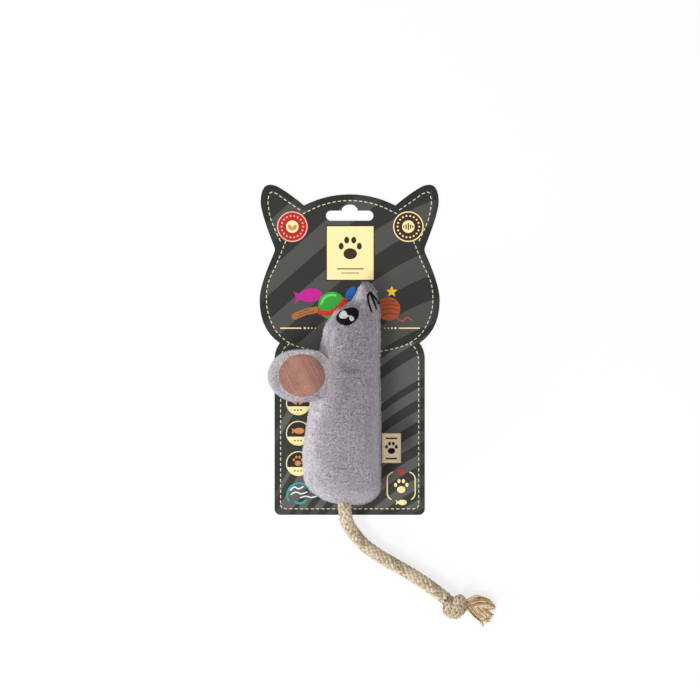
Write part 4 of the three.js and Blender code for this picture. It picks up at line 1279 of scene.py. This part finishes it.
# Plate under the peg slot, with a paw on it
print_shapes("plate_border", "dark_brown", 0, box(0.4, 65.3, 33.0, 37.6, 0.5))
print_shapes("plate", "cream", 1, box(0.4, 65.3, 31.4, 36.0, 0.2))
plate_bars = [box(0.4, 54.6, 18.0, 0.7, 0.3), box(0.4, 51.8, 12.0, 0.5, 0.2)]
print_shapes("plate_motif", "dark_brown", 2, *paw(0.4, 68.2, 17.0), *plate_bars)

# Round badges in the ears: a red one with a leaf and a brown one with bars of sound
BADGES = {"red_badge": (-38.7, "red", "rose"), "brown_badge": (39.6, "dark_brown", "cream")}
for name, (x, face, edge) in BADGES.items():
    beads = [oval(*p, 0.62, sides=16) for p in around(x, 83.1, np.radians(np.arange(0, 360, 20)), 7.3)]
    print_shapes(name, face, 1, oval(x, 83.1, 10.5))
    print_shapes(name + "_rings", edge, 2, oval(x, 83.1, 10.3), oval(x, 83.1, 9.55), *beads)
    print_shapes(name + "_middle", "cream", 2, oval(x, 83.1, 4.2))
leaves = [leaf(-40.1, 82.4, 4.8, 125), leaf(-37.3, 82.4, 4.8, 55)]
print_shapes("red_badge_motif", "tan", 3, *leaves)
bars = [box(39.6 + k * 1.5, 83.1, 0.8, h, 0.35) for k, h in enumerate((1.6, 3.4, 5.0, 3.0, 1.8), -2)]
print_shapes("brown_badge_motif", "dark_brown", 3, *bars)

# Row of toys: a fish, a stick, a ball, a feather's end and a ball of yarn with a star
BALL = (-12.0, 29.8)
BARK = [
    [(-35.6, 22.2), (-32.0, 23.8), (-28.4, 24.6)], [(-30.6, 26.6), (-27.0, 27.0)],
    [(-27.6, 25.2), (-24.0, 26.2)], [(-34.6, 24.6), (-32.6, 25.4)],
]
BALL_BAND = [(-20.0, 25.4), (-14.0, 24.6), (-7.4, 28.6), (-3.6, 33.6)]
YARN_THREADS = [
    [(19.6, 31.0), (24.6, 33.0), (30.6, 32.6)], [(18.9, 28.4), (25.0, 30.6), (32.6, 29.8)],
    [(19.2, 25.6), (25.0, 27.8), (33.4, 26.8)], [(21.4, 22.6), (26.0, 24.8), (32.4, 23.6)],
]
YARN_END = [(31.6, 21.8), (35.6, 19.4), (38.4, 21.8), (41.6, 20.2)]
print_shapes("magenta_fish", "magenta", 1, fish(-28.2, 36.6, 19.0, 8))
print_shapes("chew_stick", "wood", 1, stroke([(-37.0, 22.6), (-30.0, 25.4), (-22.6, 27.0)], 4.4))
print_shapes("chew_stick_bark", "dark_wood", 2, *[stroke(line, 0.5) for line in BARK])
print_shapes("play_ball", "green", 1, oval(*BALL, 9.4))
print_shapes("play_ball_light", "light_green", 2, stroke(arc(*BALL, 7.2, 70, 170), 1.6))
print_shapes("play_ball_band", "scarlet", 3, stroke(BALL_BAND, 3.4))
print_shapes("feather", "blue", 1, leaf(0.6, 38.0, 11.0, 60))
print_shapes("yarn_ball", "terracotta", 1, oval(26.2, 27.6, 8.0))
yarn_threads = [stroke(line, 0.55) for line in YARN_THREADS]
print_shapes("yarn_ball_threads", "dark_terracotta", 2, *yarn_threads)
print_shapes("yarn_end", "terracotta", 0, stroke(YARN_END, 1.0))
print_shapes("yellow_star", "yellow", 1, star(28.4, 39.2, 4.0))

# Rules beside the mouse's neck, with dots towards it
for name, side in (("left_rule", -1), ("right_rule", 1)):
    dots = [oval(0.3 + side * (30.6 - 2.4 * k), 14.6, 0.75 - 0.12 * k, sides=16) for k in range(4)]
    print_shapes(name, "cream", 1, box(0.3 + side * 40.0, 14.6, 14.4, 0.8, 0.3), *dots)

# Three round badges down the left side, a teal one under them, and the emblem
SIDE_BADGES = {
    -35.8: [leaf(-37.4, -34.2, 6.4, 120), leaf(-32.4, -34.2, 6.4, 60)],
    -56.3: [fish(-34.9, -54.7, 8.6)],
    -76.8: paw(-34.9, -75.0, 7.6),
}
TEAL_WAVES = [
    ([(-40.0, -94.8), (-37.4, -92.6), (-34.4, -93.8), (-31.4, -92.4)], 0.9),
    ([(-39.6, -97.6), (-36.4, -96.0), (-32.6, -97.2), (-28.8, -96.0)], 0.8),
    ([(-33.2, -99.8), (-29.6, -98.8), (-26.0, -99.6), (-22.4, -98.8)], 0.8),
]
for number, (y, motif) in enumerate(SIDE_BADGES.items(), 1):
    name = f"side_badge_{number}"
    print_shapes(name, "near_black", 1, oval(-34.6, y, 8.45))
    print_shapes(name + "_ring", "cream", 2, oval(-34.6, y, 8.35), oval(-34.6, y, 7.7))
    print_shapes(name + "_foot", "cream", 3, arc(-34.6, y, 7.65, 198, 342))
    print_shapes(name + "_motif", "tan", 2, *motif)
    dots = [oval(-34.9 + 2.1 * k, y - 4.9, 0.55, sides=14) for k in (-1, 0, 1)]
    print_shapes(name + "_dots", "near_black", 4, *dots)
rims = [stroke(arc(-34.0, -98.0, 8.0, 205, 20), 1.3), stroke(arc(-33.6, -98.6, 5.0, 235, 320), 1.5)]
print_shapes("teal_badge", "teal", 1, *rims)
print_shapes("teal_badge_waves", "off_white", 2, *[stroke(*wave) for wave in TEAL_WAVES])
left = [*arc(30.4, -87.4, 5.0, 105, 180), *arc(30.4, -96.6, 5.0, 180, 240)]
right = [*arc(39.2, -87.4, 5.0, 75, 0), *arc(39.2, -96.6, 5.0, 0, -60)]
print_shapes("emblem_frame", "cream", 1, stroke(left, 0.75, 3), stroke(right, 0.75, 3))
print_shapes("emblem_heart", "scarlet", 1, heart(34.8, -82.4, 4.6))
print_shapes("emblem_paw", "cream", 1, *paw(34.8, -92.2, 10.6))
print_shapes("emblem_fish", "cream", 1, fish(34.8, -103.0, 7.6))


# Side label
# A woven tape folded double, its ends caught in the right seam. It stands out to the side
# and curls a little, and it is embroidered with a small paw between two bars.
LABEL_START = 21.5
LABEL_REACH = 34.2 - LABEL_START
LABEL_MIDDLE = (-65.95, 16.2)
LABEL_WIDTH = 19.9
LABEL_GAP = 0.5
TAPE_THICKNESS = 0.42

fold = 0.96 + 0.04 * np.sin(np.linspace(0.2, math.pi / 2, 5))
shares = np.concatenate([np.linspace(0, 0.96, 20), fold])
gap = LABEL_GAP * np.sqrt(np.clip(1 - np.clip(shares - 0.9, 0, None) ** 2 / 0.01, 0, None))
upper = np.stack([LABEL_START + shares * LABEL_REACH, gap], -1)
section = np.vstack([upper, (upper * (1, -1))[-2::-1]])
across = np.linspace(-LABEL_WIDTH / 2, LABEL_WIDTH / 2, 25)
y, x = np.meshgrid(across, section[:, 0], indexing="ij")
curl = 0.35 * np.sin(x * 0.5 + y * 0.22) * (x - LABEL_START) / LABEL_REACH
z = LABEL_MIDDLE[1] + section[:, 1] + curl
label = grid_piece("label_tape", np.stack([x, LABEL_MIDDLE[0] + y, z], -1))
label = walled(label, TAPE_THICKNESS, 0.0)
tape_finish, place = new_finish("label_weave")
warp, weft = [(place.axis(number) * (2 * math.pi / (0.75 * MM))).math("SINE") for number in (0, 1)]
weave = 0.5 + 0.5 * (warp * weft)
colour = (0.55 * weave + 0.5 * place.noise(700.0, 3.0)).mix((152, 133, 102), (209, 194, 166))
set_finish(tape_finish, colour, 0.85, 0.2, weave.bump(0.18 * MM, 0.7))
fitted(label, "label", "side_label", tape_finish)

on_label = height_over(label)
loops = [*paw(28.0, -66.0, 9.0), box(28.0, -59.4, 7.6, 0.9, 0.3), box(28.0, -73.0, 7.6, 0.9, 0.3)]
motif = []
for seed, loop in enumerate(loops, 60):
    motif += rows_of_thread(loop, math.radians(90), 0.32, None, on_label, 0.02, 0.16, seed)
embroider("label_motif", motif, 0.34, black_thread, "label", "side_label")


# Inside the toy and under it
# A drum of satin plastic with a grey ball, a sachet of unbleached cloth and two clear
# dots of adhesive. They keep the CAD's shapes.
def inner_finish(name, dark, light, grain, rough, shine, depth):
    material, place = new_finish(name)
    texture = place.noise(grain, 3.0)
    colour = texture.mix(dark, light)
    normal = texture.bump(depth * MM, 0.6)
    return set_finish(material, colour, rough + 0.08 * texture, shine, normal)


INSIDE = {
    ("drum_plastic", (226, 224, 214), (236, 234, 225), 240.0, 0.32, 0.5, 0.02):
        ["rattle_cup", "rattle_lid"],
    ("adhesive_dot", (214, 220, 220), (232, 236, 236), 160.0, 0.12, 0.6, 0.05):
        ["adhesive_dot_upper", "adhesive_dot_lower"],
    ("sachet_cloth", (188, 176, 142), (222, 212, 182), 900.0, 0.85, 0.2, 0.3):
        ["silver_vine_sachet"],
    ("ball_plastic", (182, 187, 192), (190, 194, 199), 500.0, 0.12, 0.5, 0.01):
        ["rattle_ball"],
}
for looks, nodes in INSIDE.items():
    finish = inner_finish(*looks)
    for node in nodes:
        paint(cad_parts[node], finish)


# Floor and light
# A plain white floor that keeps a pale shadow, a soft lamp above the lower left of the
# picture, a low one beside it that grazes the pile, and an even white room round it.
FLOOR_HALF = 15.0
WHITE = (1.0, 1.0, 1.0, 1.0)
LAMPS = {"key_lamp": ((-0.7, -0.85, 1.2), 0.6, 12.0), "side_lamp": ((-1.1, -0.4, 0.24), 0.5, 9.0)}

floor_mesh = bpy.data.meshes.new("floor")
corners = [(FLOOR_HALF * a, FLOOR_HALF * b, 0) for a, b in ((-1, -1), (1, -1), (1, 1), (-1, 1))]
floor_mesh.from_pydata(corners, [], [(0, 1, 2, 3)])
floor = new_object("floor", floor_mesh)
floor_finish, place = new_finish("white_floor")
tree = floor_finish.node_tree
tree.nodes.remove(tree.nodes["Principled BSDF"])
rays = place.node("ShaderNodeLightPath", None, "Is Camera Ray")
seen = rays.math("MAXIMUM", rays.other("Is Glossy Ray"))
seen = seen.math("MAXIMUM", rays.other("Is Transmission Ray"))
matt = place.node("ShaderNodeBsdfDiffuse", {"Color": (0.86, 0.86, 0.87, 1.0)})
glow = place.node("ShaderNodeEmission", {"Color": WHITE, "Strength": 1.0})
mixed = place.node("ShaderNodeMixShader", {0: seen * 0.7, 1: matt, 2: glow})
tree.links.new(mixed.output, tree.nodes["Material Output"].inputs["Surface"])
paint(floor, floor_finish)
floor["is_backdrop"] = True

world = bpy.data.worlds.new("room")
world.use_nodes = True
world.node_tree.nodes["Background"].inputs["Color"].default_value = WHITE
world.node_tree.nodes["Background"].inputs["Strength"].default_value = 0.8
bpy.context.scene.world = world

for name, (spot, size, power) in LAMPS.items():
    lamp = new_object(name, bpy.data.lights.new(name, "AREA"))
    lamp.data.shape = "DISK"
    lamp.data.size = size
    lamp.data.energy = power
    lamp.location = spot
    lamp.rotation_euler = (-Vector(spot)).to_track_quat("-Z", "Y").to_euler()

visual_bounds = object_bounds()
sizes = {
    "cad": [list(corner) for corner in cad_bounds],
    "visual": [list(corner) for corner in visual_bounds],
}
